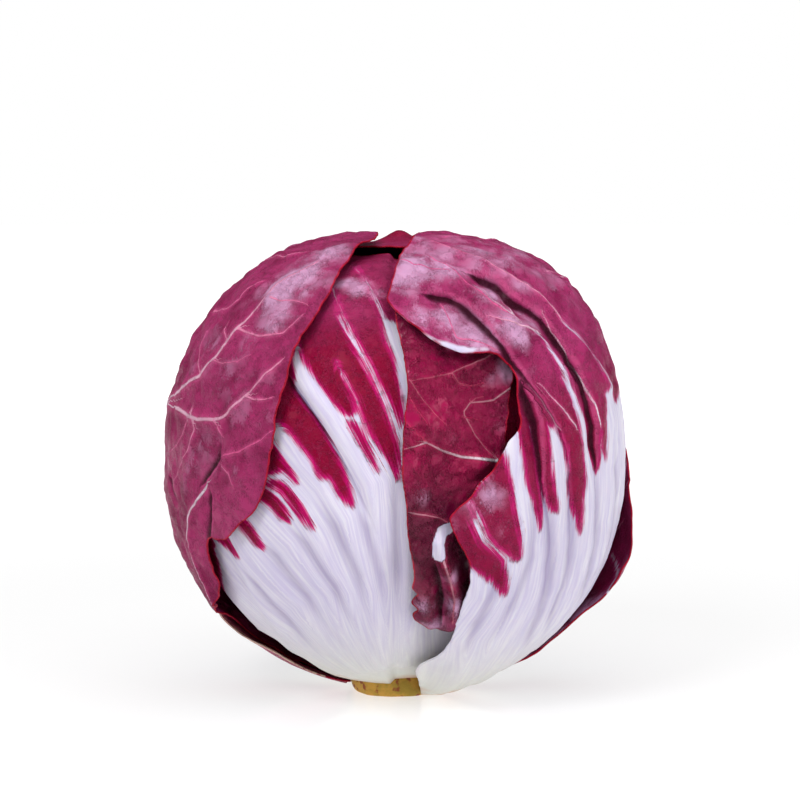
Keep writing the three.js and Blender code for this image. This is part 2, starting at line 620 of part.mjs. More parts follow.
function heartGeometry() {
  const sphere = new THREE.SphereGeometry(1, HEART_SEGMENTS, HEART_RINGS);
  sphere.rotateX(PI / 2);
  const position = sphere.getAttribute("position");
  for (let i = 0; i < position.count; i++) {
    const direction = new THREE.Vector3().fromBufferAttribute(position, i).normalize();
    const { lon, lat } = anglesOf(direction);
    const turn = (((HEART_STEPS * (lon + 0.9 * lat)) / 360) % 1 + 1) % 1;
    const step = HEART_STEP_HEIGHT * turn * smooth(lat, -60, -20) * (1 - smooth(lat, 78, 90));
    const p = direction.multiplyScalar(headRadius(direction) - HEART_INSET - HEART_STEP_HEIGHT + step);
    position.setXYZ(i, ...p.add(HEAD_CENTRE).toArray());
  }
  return sphere;
}

// The stem: a short stub, flat where it was cut, with a worn rim.
function stemGeometry() {
  const profile = [
    [0, 0], [STEM_RADIUS - 0.6, 0], [STEM_RADIUS, 0.5], [STEM_RADIUS + 0.5, 2],
    [STEM_NECK_RADIUS, 4.5], [STEM_RADIUS, STEM_HEIGHT], [0, STEM_HEIGHT],
  ].map(([r, z]) => new THREE.Vector2(r, z));
  return new THREE.LatheGeometry(profile, 36).rotateX(PI / 2);
}

function addPart(group, name, geometry, colour, roughness) {
  geometry.computeVertexNormals();
  const material = new THREE.MeshStandardMaterial({ color: colour, roughness, metalness: 0 });
  const mesh = new THREE.Mesh(geometry, material);
  mesh.name = name;
  group.add(mesh);
}

const radicchio = new THREE.Group();
addPart(radicchio, "stem", stemGeometry(), 0xc9b45a, 0.7);
addPart(radicchio, "heart", heartGeometry(), 0x8f1d45, 0.5);
for (const [name, leaf] of Object.entries(LEAVES)) addPart(radicchio, name, leafGeometry(leaf), leaf.colour, 0.5);

export default radicchio;
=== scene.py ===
"""A round head of red radicchio on a white table: its leaves as fine sheets, in the photo's view."""

import math

import bpy
import numpy as np
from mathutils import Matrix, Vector
from mathutils.kdtree import KDTree


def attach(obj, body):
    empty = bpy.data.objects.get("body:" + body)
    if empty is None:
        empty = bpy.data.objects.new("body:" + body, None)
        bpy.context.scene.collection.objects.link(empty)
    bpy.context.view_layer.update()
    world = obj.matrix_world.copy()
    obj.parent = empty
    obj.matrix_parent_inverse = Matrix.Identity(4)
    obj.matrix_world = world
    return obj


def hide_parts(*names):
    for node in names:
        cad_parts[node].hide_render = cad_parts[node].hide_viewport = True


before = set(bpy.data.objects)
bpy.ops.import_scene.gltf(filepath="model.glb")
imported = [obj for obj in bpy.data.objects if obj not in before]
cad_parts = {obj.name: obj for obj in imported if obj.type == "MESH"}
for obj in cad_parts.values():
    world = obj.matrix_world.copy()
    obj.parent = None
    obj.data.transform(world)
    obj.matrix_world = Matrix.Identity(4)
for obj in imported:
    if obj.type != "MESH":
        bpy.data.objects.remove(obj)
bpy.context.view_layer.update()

# The head, in mm: its outside, and where the leaves meet the stem
MM = 0.001
HEAD_RADIUS = 59.5
HEAD_HALF_HEIGHT = 60.0
HEAD_CENTRE = np.array([0.0, 0.0, HEAD_HALF_HEIGHT])
TOP_SQUARENESS = 2.35
BOTTOM_SQUARENESS = 2.05
ROOT_RADIUS = 12.7
ROOT_STEP = 12
STEM_RADIUS = 11.0
STEM_HEIGHT = 9.2

# How deep each layer of leaves lies inside the head's outside
WRAPPER_INSET = 0.3
BACK_INSET = 3.0
FRONT_INSET = 3.4
MIDDLE_INSET = 4.1
OUTER_INSET = -1.9
HEART_INSET = 9.4

# The photo's view: one point of the picture is 0.26 mm at the head's centre
POINT = 0.26
VIEW_CENTRE = (395, 462)
PICTURE = 800
VIEW_DISTANCE = 750.0
VIEW_ELEVATION = math.radians(7)
SENSOR = 36.0

# The sheets' fineness
LEAF_THICKNESS = 0.7
MARGIN_THICKNESS = 0.38


def smooth(x, low, high):
    t = np.clip((x - low) / (high - low), 0, 1)
    return t * t * (3 - 2 * t)


def bell(distance, width):
    return np.exp(-((distance / width) ** 2))


def unit(v):
    return v / np.linalg.norm(v, axis=-1, keepdims=True)


def lumps(points, size, seed):
    """Smooth noise from -1 to 1, with lumps about size across."""
    p = points / size + seed * 17.31
    cell = np.floor(p).astype(np.int64)
    t = p - cell
    t = t * t * (3 - 2 * t)
    total = np.zeros(len(p))
    for corner in np.ndindex(2, 2, 2):
        at = cell + np.array(corner)
        mixed = (at[:, 0] * 73856093) ^ (at[:, 1] * 19349663) ^ (at[:, 2] * 83492791)
        mixed = (mixed ^ (mixed >> 13)) * 1274126177
        value = ((mixed >> 7) & 0xFFFF) / 0x7FFF - 1
        total += value * np.prod(np.where(corner, t, 1 - t), axis=1)
    return total


# Directions from the head's centre


def polar(longitude, latitude):
    """Longitude runs from the front (0) to the right (90), latitude from the stem (-90) to the top (90)."""
    lon, lat = math.radians(longitude), math.radians(latitude)
    return np.array([math.sin(lon) * math.cos(lat), -math.cos(lon) * math.cos(lat), math.sin(lat)])


def angles_of(d):
    lon = np.degrees(np.arctan2(d[..., 0], -d[..., 1]))
    lat = np.degrees(np.arcsin(np.clip(d[..., 2], -1, 1)))
    return lon, lat


def head_radius(d):
    n = np.where(d[..., 2] > 0, TOP_SQUARENESS, BOTTOM_SQUARENESS)
    across = np.hypot(d[..., 0], d[..., 1]) / HEAD_RADIUS
    up = np.abs(d[..., 2]) / HEAD_HALF_HEIGHT
    return (across**n + up**n) ** (-1 / n)


def seen(x, y, inset):
    """The direction of a point of the picture, on a layer at the given inset."""
    back = np.array([0, -math.cos(VIEW_ELEVATION), math.sin(VIEW_ELEVATION)])
    up = np.array([0, math.sin(VIEW_ELEVATION), math.cos(VIEW_ELEVATION)])
    eye = back * VIEW_DISTANCE
    target = up * (VIEW_CENTRE[1] - y) * POINT
    target[0] += (x - VIEW_CENTRE[0]) * POINT
    ray = unit(target - eye)
    nearest = eye - ray * eye.dot(ray)
    radius = HEAD_RADIUS - inset
    for _ in range(8):
        half = math.sqrt(max(radius**2 - nearest.dot(nearest), 0))
        hit = nearest - ray * half
        radius = float(head_radius(unit(hit))) - inset
    return unit(hit)


def on_head(*places):
    """Marks places as (longitude, latitude), with what follows, in a list that holds picture points."""
    return [("polar", *place) for place in places]


def root(start, end, inset):
    """The edge of a leaf against the stem, from one longitude to another."""
    latitude = math.degrees(math.acos(ROOT_RADIUS / (HEAD_HALF_HEIGHT - inset)))
    steps = round(abs(end - start) / ROOT_STEP)
    return on_head(*[(start + (end - start) * i / steps, -latitude) for i in range(steps + 1)])


def directions_of(points, inset):
    """Directions of points given as (x, y) of the picture, or as places marked by on_head."""
    return np.array([polar(p[1], p[2]) if p[0] == "polar" else seen(p[0], p[1], inset) for p in points])


def to_line(d, line):
    """The distance in mm to a line of directions, the side (+1 right of its run) and the share along it."""
    best = np.full(len(d), np.inf)
    side = np.ones(len(d))
    along = np.zeros(len(d))
    p = d * HEAD_RADIUS
    for i in range(len(line) - 1):
        a, b = line[i] * HEAD_RADIUS, line[i + 1] * HEAD_RADIUS
        run = b - a
        t = np.clip((p - a) @ run / run.dot(run), 0, 1)
        off = p - (a + t[:, None] * run)
        distance = np.linalg.norm(off, axis=1)
        nearer = distance < best
        best = np.where(nearer, distance, best)
        turn = (np.cross(run, off) * d).sum(axis=1)
        side = np.where(nearer, np.where(turn > 0, -1, 1), side)
        along = np.where(nearer, (i + t) / (len(line) - 1), along)
    return best, side, along


def distance_to(d, point):
    return HEAD_RADIUS * np.arccos(np.clip(d @ point, -1, 1))


# Valleys between pleats, as (x, y, half width in picture points)
RIGHT_PLEATS = [
    [
        (468, 274, 1.5), (482, 278, 4), (495, 283, 4.5), (503, 290, 4.5), (510, 298, 5), (520, 304, 4.5),
        (530, 309, 3.6), (540, 318, 3.2), (550, 331, 3.5), (558, 342, 3.5), (566, 353, 3.5), (573, 363, 4),
        (579, 375, 3.6), (585, 388, 3), (590, 402, 3), (593, 420, 3.4), (595, 440, 3.6), (596, 458, 2.6),
        (596, 475, 0.9), (597, 520, 0.6), (596, 560, 0.3),
    ],
    [
        (420, 293, 0.8), (432, 293, 3), (442, 295, 3.5), (452, 299, 3.5), (460, 303, 3.5), (468, 308, 4),
        (475, 315, 4), (483, 323, 3.6), (490, 332, 3), (497, 340, 2.6), (503, 347, 3), (510, 356, 3),
        (517, 366, 3), (524, 376, 2.2), (533, 388, 1.8), (540, 398, 1.6), (548, 411, 1.5), (558, 427, 1.3),
        (563, 442, 1.3), (568, 462, 1.3), (571, 485, 1.5), (572, 515, 1.3), (571, 550, 0.8),
        (566, 590, 0.4),
    ],
    [
        (522, 382, 2), (527, 395, 4), (532, 408, 5), (537, 422, 4.6), (539, 440, 4), (541, 460, 3),
        (542, 480, 2.2), (546, 500, 1.8), (550, 520, 1.5), (551, 545, 1.3), (547, 570, 1), (544, 595, 0.7),
        (538, 614, 0.4),
    ],
]
FRONT_PLEATS = [
    [
        (284, 370, 0.6), (290, 383, 2.2), (303, 401, 2.6), (316, 419, 2.2), (328, 438, 2), (340, 458, 1.8),
        (350, 477, 1.6), (360, 497, 1.2), (372, 520, 0.7), (381, 545, 0.2),
    ],
]
PLEAT_RUN_IN = 3.8
PLEAT_EDGE = 1.2
PLEAT_DEPTH = 0.62


def banded(lines, inset):
    """Lines of (place, half width in picture points) as directions, with the half widths in mm."""
    bands = []
    for line in lines:
        widths = np.array([place[-1] * POINT for place in line])
        bands.append((directions_of([place[:-1] for place in line], inset), widths))
    return bands


def width_along(along, widths):
    return np.interp(along * (len(widths) - 1), np.arange(len(widths)), widths)


RIGHT_VALLEYS = banded(RIGHT_PLEATS, WRAPPER_INSET)
FRONT_VALLEYS = banded(FRONT_PLEATS, FRONT_INSET)


def pleat_inset(d, valleys):
    """Valleys run from the top down: the sheet runs in on the left of the picture and comes out steeply."""
    inset = np.zeros(len(d))
    for line, widths in valleys:
        distance, side, along = to_line(d, line)
        width = np.where(side < 0, PLEAT_EDGE, PLEAT_RUN_IN)
        depth = PLEAT_DEPTH / POINT * width_along(along, widths)
        inset = np.maximum(inset, depth * bell(distance, width))
    return inset


LEFT_CREASE = directions_of(
    [(223, 436), (219, 456), (210, 476), (208, 500), (208, 530), (208, 556), (214, 582)],
    WRAPPER_INSET,
)

# Main ribs, from the stem up
FRONT_RIBS = [
    [
        (404, 668), (408, 600), (412, 520), (409, 420), (404, 375), (392, 345), (382, 315), (370, 290),
        (356, 266),
    ],
    [
        (400, 664), (404, 600), (405, 520), (401, 442), (390, 410), (372, 372), (350, 333), (338, 305),
        (333, 290),
    ],
    [(396, 662), (398, 590), (392, 480), (370, 440), (356, 400), (343, 375)],
    [(390, 664), (384, 590), (372, 485), (350, 446), (331, 418), (315, 397), (303, 375), (297, 354)],
    [(386, 664), (368, 592), (344, 520), (322, 486), (302, 464), (284, 438)],
    [(380, 666), (345, 592), (318, 545), (300, 515), (282, 492), (262, 480)],
    [(370, 668), (330, 595), (290, 545), (256, 512)],
    [(360, 670), (300, 606), (255, 560), (238, 538)],
    [(352, 673), (290, 632), (245, 600), (214, 566)],
]
RIGHT_RIBS = [
    [(440, 690), (470, 640), (500, 600), (505, 558), (485, 537), (471, 505)],
    [(452, 690), (490, 640), (515, 590), (524, 540), (516, 480), (519, 430)],
    [
        (480, 684), (524, 640), (548, 590), (556, 540), (560, 490), (556, 440), (546, 410), (530, 385),
        (505, 350),
    ],
    [
        (510, 676), (560, 620), (584, 560), (592, 510), (590, 470), (586, 430), (574, 390), (552, 352),
        (520, 328), (488, 317),
    ],
    [
        (540, 652), (590, 590), (606, 520), (609, 470), (612, 420), (600, 375), (578, 345), (556, 322),
        (520, 288), (470, 261), (430, 250),
    ],
    [(575, 620), (612, 560), (626, 490), (628, 440), (621, 380), (600, 330), (577, 297), (541, 278)],
]
LEFT_RIBS = [
    [*on_head((-100, -60), (-96, -20)), (169, 403), (205, 370), (238, 328), (268, 296), (318, 264)],
    [(169, 403), (196, 421), (220, 418), (250, 395), (290, 354)],
]


FRONT_LINES = [directions_of(points, FRONT_INSET) for points in FRONT_RIBS]
RIGHT_LINES = [directions_of(points, WRAPPER_INSET) for points in RIGHT_RIBS]
LEFT_LINES = [directions_of(points, WRAPPER_INSET) for points in LEFT_RIBS]


def fan_of_ribs(middle, spread, count, top):
    """Ribs that spread from the stem about a leaf's middle."""
    ribs = []
    for i in range(count):
        lean = 2 * i / (count - 1) - 1
        steps = [j / 6 for j in range(7)]
        rib = [
            polar(middle + spread * lean * (0.25 + 0.75 * up), -70 + (top + 70 - 18 * abs(lean)) * up)
            for up in steps
        ]
        ribs.append(np.array(rib))
    return ribs


BACK_RIBS = fan_of_ribs(180, 46, 5, 60)
OUTER_LEFT_RIBS = fan_of_ribs(-138, 48, 7, 18)
OUTER_RIGHT_RIBS = fan_of_ribs(138, 44, 7, 26)
LEFT_BACK_RIBS = fan_of_ribs(-124, 16, 3, 74)
RIGHT_BACK_RIBS = fan_of_ribs(122, 14, 3, 72)

RIB_HEIGHT = 0.9
RIB_WIDTH = 2.6


def rib_relief(d, ribs):
    relief = np.zeros(len(d))
    for rib in ribs:
        distance, _, along = to_line(d, rib)
        relief = np.maximum(relief, RIB_HEIGHT * (1 - 0.7 * along) * bell(distance, RIB_WIDTH))
    return relief


# Folds raised on the leaves, as (height, width, points): a negative height is a hollow

MIDDLE_SEAM = [(409, 386), (430, 381), (450, 376), (465, 368), (480, 361), (495, 352)]
MIDDLE_FOLDS = [
    (1.5, 2.2, [(414, 545), (420, 575), (426, 600), (432, 616)]),
    (2.6, 2.4, [(437, 540), (444, 562), (454, 588), (456, 604), (448, 620)]),
    (-1.2, 1.8, [(434, 565), (441, 585), (440, 606)]),
    (-1.3, 2.4, [(454, 546), (463, 566), (467, 584)]),
    (0.7, 2.2, MIDDLE_SEAM),
    (0.6, 2.2, [(426, 444), (440, 451), (460, 457), (480, 460), (497, 461)]),
]


CURL = directions_of([(437, 552), (436, 540), (441, 530), (450, 527)], MIDDLE_INSET)
SLIT_RIDGE = [(208, 484), (202, 497), (194, 511), (191, 527), (193, 545), (199, 563), (209, 585), (218, 602)]
LEFT_FOLDS = [
    (-0.5, 1.5, [(220, 437), (220, 452), (216, 464), (208, 469), (203, 482)]),
    (-0.5, 1.5, [(206, 488), (206, 505), (208, 541), (208, 555), (210, 570), (215, 584)]),
    (0.8, 1.3, SLIT_RIDGE),
    (-0.9, 1.6, [(172, 478), (177, 502)]),
    (-0.9, 2.8, on_head((-93, -15), (-94, 14), (-95, 38))),
]
RIGHT_FOLDS = [
    (0.8, 1.5, [
        (388, 305), (400, 318), (412, 330), (425, 338), (440, 345), (455, 350), (470, 352), (485, 351),
    ]),
    (0.8, 1.8, [
        (430, 246), (465, 258), (490, 272), (520, 288), (545, 310), (565, 333), (590, 360), (607, 388),
    ]),
    (0.8, 1.6, [
        (428, 260), (450, 273), (470, 289), (490, 305), (512, 321), (535, 335), (552, 352), (568, 378),
    ]),
    (-0.8, 1.8, [(436, 297), (444, 310), (452, 325), (457, 338)]),
    (-0.9, 2.8, on_head((94, -20), (94, 10), (93, 32))),
]
BACK_FOLDS = [
    (1.2, 3.4, on_head((168, 30), (166, 55), (150, 76))),
    (1.0, 3.0, on_head((192, 30), (196, 52), (215, 74))),
]
OUTER_LEFT_FOLDS = [
    (1.3, 3.2, on_head((-128, -40), (-130, -10), (-136, 16))),
    (1.1, 3.0, on_head((-160, -40), (-164, -5), (-166, 24))),
    (1.0, 2.8, on_head((-184, -35), (-188, 0), (-186, 18))),
]
OUTER_RIGHT_FOLDS = [
    (1.2, 3.0, on_head((104, -45), (106, -20), (110, 6))),
    (1.2, 3.0, on_head((124, -40), (124, -5), (122, 24))),
]
RIGHT_SHOULDER = polar(84, 50)
RIGHT_FLARE = polar(88, -24)
LEFT_SHOULDER = polar(-72, 42)
BASE_BULGE = polar(32, -68)
TOP_LIP = seen(399, 236, BACK_INSET)


def fold_relief(d, folds, inset):
    """Ridges and hollows raised on a leaf along given lines."""
    relief = np.zeros(len(d))
    for height, width, points in folds:
        relief += height * bell(to_line(d, directions_of(points, inset))[0], width)
    return relief


# A form says how far in mm each point of a leaf lies inside the head's outside. Its terms, in turn, let the
# leaf pass under its neighbours where they overlap it, tuck it in at the stem, and raise its ribs and folds.


def front_form(d, lon, lat):
    """Passes under the middle and right leaves on the right, and under the left leaf at its far side."""
    ribs = rib_relief(d, FRONT_LINES)
    return (
        FRONT_INSET
        + 1.3 * smooth(lon, -6, 1)
        + 2.9 * smooth(lon, 3, 16) * smooth(lat, -55, -43)
        + 1.2 * smooth(-lon, 45, 54) * smooth(lat, -56, -46)
        + 1.4 * smooth(lat, 55, 72) * (1 - smooth(lon, 0, 18))
        - 0.7 * smooth(-lat, 58, 72)
        + pleat_inset(d, FRONT_VALLEYS)
        - ribs * (1 - smooth(lon, -4, 2) * smooth(lat, -60, -50)) * (1 - smooth(-lon, 42, 50))
    )


def back_form(d, lon, lat):
    """Comes over the top, where it ends in a small raised lip."""
    lip = bell(distance_to(d, TOP_LIP), 4.2)
    low = smooth(-lat, 28, 46)
    ribs = 0.8 * rib_relief(d, BACK_RIBS) * (1 - low)
    return BACK_INSET - 2.9 * lip + 1.3 * low - ribs - fold_relief(d, BACK_FOLDS, BACK_INSET)


def middle_form(d, lon, lat):
    """Lies over the front leaf on its left and sinks under the right leaf; its low end stands out."""
    sunk = np.maximum(smooth(lon, 4, 15) * smooth(lat, -30, -16), smooth(lon, 9, 14))
    return (
        2.4
        + (MIDDLE_INSET - 2.4) * sunk
        + 1.2 * smooth(lon, 16, 26) * smooth(lat, -32, -18)
        - 2.3 * smooth(-lat, 48, 62)
        - fold_relief(d, MIDDLE_FOLDS, MIDDLE_INSET)
    )


def left_form(d, lon, lat):
    """Wraps the left side, flatter at the shoulder, with a crease and a slit near its free edge."""
    distance, _, along = to_line(d, LEFT_CREASE)
    crease = 0.8 * smooth(along, 0, 0.2) * bell(distance, 2.6) - fold_relief(d, LEFT_FOLDS, WRAPPER_INSET)
    flattened = 1.5 * bell(distance_to(d, LEFT_SHOULDER), 24)
    return WRAPPER_INSET + crease + flattened + 1.9 * smooth(-lat, 34, 50) - 0.6 * rib_relief(d, LEFT_LINES)


def right_form(d, lon, lat):
    """Wraps the right side in pleats, bulges at the base and shoulder, and tucks in beside the stem."""
    ribs = rib_relief(d, RIGHT_LINES)
    return (
        WRAPPER_INSET
        + pleat_inset(d, RIGHT_VALLEYS)
        - 1.0 * bell(distance_to(d, BASE_BULGE), 16)
        - 1.8 * bell(distance_to(d, RIGHT_SHOULDER), 20)
        - fold_relief(d, RIGHT_FOLDS, WRAPPER_INSET)
        + 1.7 * smooth(-lat, 50, 66) * smooth(lon, 66, 84)
        + 1.5 * (1 - smooth(lon, 15, 27)) * smooth(-lat, 44, 54)
        - 0.7 * ribs
    )


def outer_left_form(d, lon, lat):
    """Stands outside the others at the back, and tucks in under the head at the front."""
    around = lon % 360 - 360
    front = smooth(around, -125, -98) * smooth(-lat, 34, 52)
    tucked = 1.4 * smooth(around, -92, -80) * smooth(-lat, 48, 58)
    low = np.maximum(2 * smooth(-lat, 52, 68), 2.1 * front) + tucked
    ribs = rib_relief(d, OUTER_LEFT_RIBS) * (1 - front)
    return OUTER_INSET + low - ribs - fold_relief(d, OUTER_LEFT_FOLDS, OUTER_INSET)


def outer_right_form(d, lon, lat):
    """Stands outside the others on the right, where its rim flares away, and sinks under its twin behind."""
    around = lon % 360
    return (
        OUTER_INSET
        + 2.1 * smooth(around, 138, 152)
        + 1.9 * smooth(-lat, 52, 68)
        - 4.2 * bell(distance_to(d, RIGHT_FLARE), 12)
        - rib_relief(d, OUTER_RIGHT_RIBS) * (1 - smooth(around, 130, 145))
        - fold_relief(d, OUTER_RIGHT_FOLDS, OUTER_INSET)
    )


# Paint: per-point values that the materials read


def white_bands(d, bands):
    """How far in mm each point is outside the nearest white band: negative in the band."""
    clear = np.full(len(d), 60.0)
    for line, widths in bands:
        distance, _, along = to_line(d, line)
        clear = np.minimum(clear, distance - width_along(along, widths))
    return clear


def depth_inside(points, outline):
    """The signed distance to a closed outline in the plane: positive inside."""
    nearest = np.full(len(points), np.inf)
    odd = np.zeros(len(points), dtype=bool)
    for a, b in zip(outline, np.roll(outline, -1, axis=0)):
        run = b - a
        t = np.clip((points - a) @ run / run.dot(run), 0, 1)
        nearest = np.minimum(nearest, np.linalg.norm(points - a - t[:, None] * run, axis=1))
        crossed = (a[1] > points[:, 1]) != (b[1] > points[:, 1])
        if crossed.any():
            odd ^= crossed & (points[:, 0] < run[0] * (points[:, 1] - a[1]) / run[1] + a[0])
    return np.where(odd, nearest, -nearest)


PATCH_REACH = 6.0


def patches(d, outlines, inset):
    """How far in mm each point is inside the nearest of some patches of pigment: negative outside."""
    depth = np.full(len(d), -PATCH_REACH)
    for outline in outlines:
        corners = directions_of(outline, inset)
        chart = Chart(unit(corners.mean(axis=0)))
        flat = rounded_outline(chart.flat(corners), 1.2)
        reach = np.linalg.norm(flat, axis=1).max() + PATCH_REACH
        near = d @ chart.centre > math.cos(min(reach / HEAD_RADIUS, math.pi))
        depth[near] = np.maximum(depth[near], depth_inside(chart.flat(d[near]), flat))
    return depth


def drawn_veins(veins, inset):
    return [(width, paleness, directions_of(points, inset)) for width, paleness, points in veins]


FORKS = (0.55, 0.63, 0.71, 0.79, 0.87)
FORK_REACH = 15.0


def grown_veins(ribs):
    """Ribs as veins, with smaller veins that fork off them on either side in turn."""
    veins = []
    for number, rib in enumerate(ribs):
        veins.append((0.8, 1.0, rib))
        for fork, share in enumerate(FORKS):
            at = share * (len(rib) - 1)
            i = int(at)
            start = unit(rib[i] + (rib[i + 1] - rib[i]) * (at - i))
            up = unit(rib[i + 1] - rib[i])
            aside = np.cross(start, up) * (1 if (fork + number) % 2 else -1)
            reach = FORK_REACH * (1.15 - 0.5 * share) / HEAD_RADIUS
            line = [unit(start + reach * (0.8 * t * up + 0.6 * t**0.7 * aside)) for t in (0, 0.3, 0.65, 1)]
            veins.append((0.42, 0.5, np.array(line)))
    return veins


FAR = 9.0


def nearest_line(d, measured):
    """The nearest of lines given as (how far off in their own widths, side, mark).

    Gives how far off it is, the same with a sign for its side, and its mark.
    """
    away = np.full(len(d), FAR)
    across = np.full(len(d), FAR)
    mark = np.zeros(len(d))
    for off, side, line_mark in measured:
        nearer = off < away
        away = np.where(nearer, off, away)
        across = np.where(nearer, off * side, across)
        mark = np.where(nearer, line_mark, mark)
    return away, across, mark


def veins_near(d, veins):
    """The nearest vein and how pale it is. A vein is (width in mm, paleness where it starts, directions)."""
    measured = []
    for width, paleness, line in veins:
        distance, side, along = to_line(d, line)
        measured.append((distance / (width * (1 - 0.5 * along)), side, paleness * (1 - 0.7 * along)))
    return dict(zip(("vein_away", "vein_across", "pale"), nearest_line(d, measured)))


def valley_shade_near(d, valleys):
    """The nearest valley between pleats and how deep it is there, 0 to 1, for the painted shade in it."""
    measured = []
    for line, widths in valleys:
        distance, side, along = to_line(d, line)
        half = width_along(along, widths)
        measured.append((distance / (0.25 + half), side, smooth(half, 0, 0.7)))
    return dict(zip(("valley_away", "valley_across", "valley_deep"), nearest_line(d, measured)))


def furrowed(d, furrows):
    """How near each point is to the middle of a shallow furrow, 0 to 1."""
    near = np.zeros(len(d))
    for line, widths in furrows:
        distance, _, along = to_line(d, line)
        half = width_along(along, widths)
        near = np.maximum(near, smooth(half, 0.2, 0.9) * bell(distance, 0.4 + 1.3 * half))
    return near


def clouded(d, seed):
    """Soft clouds of bloom and sheen, fading out towards the bottom, for the sides that the view doesn't
    show.
    """
    return 0.75 * smooth(lumps(d * HEAD_RADIUS, 15.0, seed), -0.1, 0.8) * smooth(d[:, 2], -0.3, 0.4)


def bloom_and_sheen_spots(d, spots, inset):
    """The dusty bloom and painted sheen on a leaf, 0 to 1, as soft spots of (place, radius in mm, strength).
    """
    bloom_and_sheen = np.zeros(len(d))
    for *place, radius, strength in spots:
        middle = directions_of([place], inset)[0]
        bloom_and_sheen = np.maximum(bloom_and_sheen, strength * bell(distance_to(d, middle), radius))
    return bloom_and_sheen


# Patches of pigment, as closed outlines, and the white bands that run over them, as (x, y, half width)
FRONT_PATCHES = [
    [
        (338, 300), (352, 298), (372, 303), (380, 320), (386, 340), (393, 355), (398, 375), (402, 395),
        (404, 415), (401, 426), (393, 412), (386, 397), (378, 382), (368, 363), (358, 346), (348, 329),
        (341, 316),
    ],
    [
        (330, 270), (310, 290), (300, 320), (299, 345), (304, 362), (314, 378), (326, 393), (338, 408),
        (349, 416), (360, 413), (364, 424), (371, 436), (379, 448), (386, 459), (393, 470), (399, 482),
        (400, 466), (398, 445), (393, 425), (384, 405), (372, 380), (362, 362), (350, 340), (339, 316),
        (333, 295),
    ],
    [
        (348, 421), (356, 424), (363, 434), (369, 445), (374, 458), (379, 473), (371, 462), (363, 450),
        (355, 436),
    ],
    [
        (290, 378), (276, 380), (268, 405), (268, 422), (279, 424), (288, 431), (300, 447), (310, 460),
        (320, 477), (330, 480), (337, 493), (345, 501), (353, 507), (352, 495), (345, 477), (338, 460),
        (328, 440), (316, 420), (303, 402), (294, 388),
    ],
    [(297, 340), (284, 355), (280, 385), (288, 388), (294, 378), (292, 360)],
    [
        (268, 440), (275, 445), (281, 455), (288, 465), (294, 475), (298, 485), (290, 478), (283, 472),
        (274, 474), (262, 474), (256, 455),
    ],
    [
        (262, 482), (272, 480), (281, 481), (291, 490), (301, 505), (313, 529), (303, 519), (294, 508),
        (285, 496), (276, 488),
    ],
    [
        (248, 500), (256, 488), (266, 487), (276, 495), (285, 506), (291, 521), (282, 519), (272, 509),
        (262, 501),
    ],
    [
        (234, 520), (242, 518), (248, 522), (254, 530), (259, 539), (264, 549), (255, 545), (247, 535),
        (240, 527),
    ],
    [(210, 538), (224, 538), (229, 545), (234, 552), (239, 559), (230, 555), (222, 548)],
    [(205, 538), (210, 545), (212, 558), (217, 572), (222, 596), (213, 580), (208, 566), (203, 550)],
]
FRONT_WHITE = [
    [(356, 266, 0.6), (370, 290, 1.4), (382, 315, 2.2), (392, 345, 2.8), (404, 375, 2.4), (408, 405, 0.8)],
    [
        (333, 290, 0.8), (343, 318, 1.6), (358, 347, 2.2), (372, 372, 2.6), (384, 397, 3), (396, 424, 4),
        (401, 440, 4),
    ],
    [(336, 362, 0.1), (343, 375, 0.5), (350, 388, 0.6), (356, 400, 0.8), (360, 415, 1.6), (370, 440, 2)],
]
RIGHT_PATCHES = [
    [
        (380, 300), (400, 246),
        *on_head((30, 84), (100, 80), (142, 60), (146, 20), (125, 8), (108, 14), (96, 12)),
        (618, 392), (614, 401), (607, 386), (603, 394), (598, 402), (584, 410), (560, 425), (535, 425),
        (519, 427), (505, 405), (503, 372), (495, 362), (470, 362), (430, 350),
    ],
    [
        (516, 410), (530, 400), (535, 420), (538, 440), (540, 460), (541, 480), (545, 500), (544, 518),
        (541, 531), (537, 514), (533, 498), (527, 485), (523, 465), (520, 440),
    ],
    [
        (534, 400), (546, 410), (549, 440), (551, 460), (553, 480), (556, 500), (556, 512), (549, 503),
        (543, 485), (540, 465), (537, 440),
    ],
    [
        (545, 395), (578, 395), (580, 420), (582, 440), (583, 460), (585, 480), (583, 500), (582, 520),
        (580, 534), (576, 516), (572, 500), (570, 480), (567, 460), (562, 440), (553, 420),
    ],
    [(585, 385), (598, 395), (600, 430), (600, 450), (597, 472), (593, 462), (590, 440), (588, 415)],
    [(598, 390), (604, 400), (605, 420), (606, 440), (605, 460), (602, 452), (599, 430)],
    [
        (503, 453), (510, 476), (514, 504), (519, 530), (519, 558), (508, 558), (497, 549), (486, 534),
        (479, 515), (472, 500), (482, 480), (494, 462),
    ],
    [
        (444, 510), (470, 492), (480, 506), (472, 520), (480, 540), (502, 560), (505, 594), (486, 578),
        (464, 560), (452, 536),
    ],
]
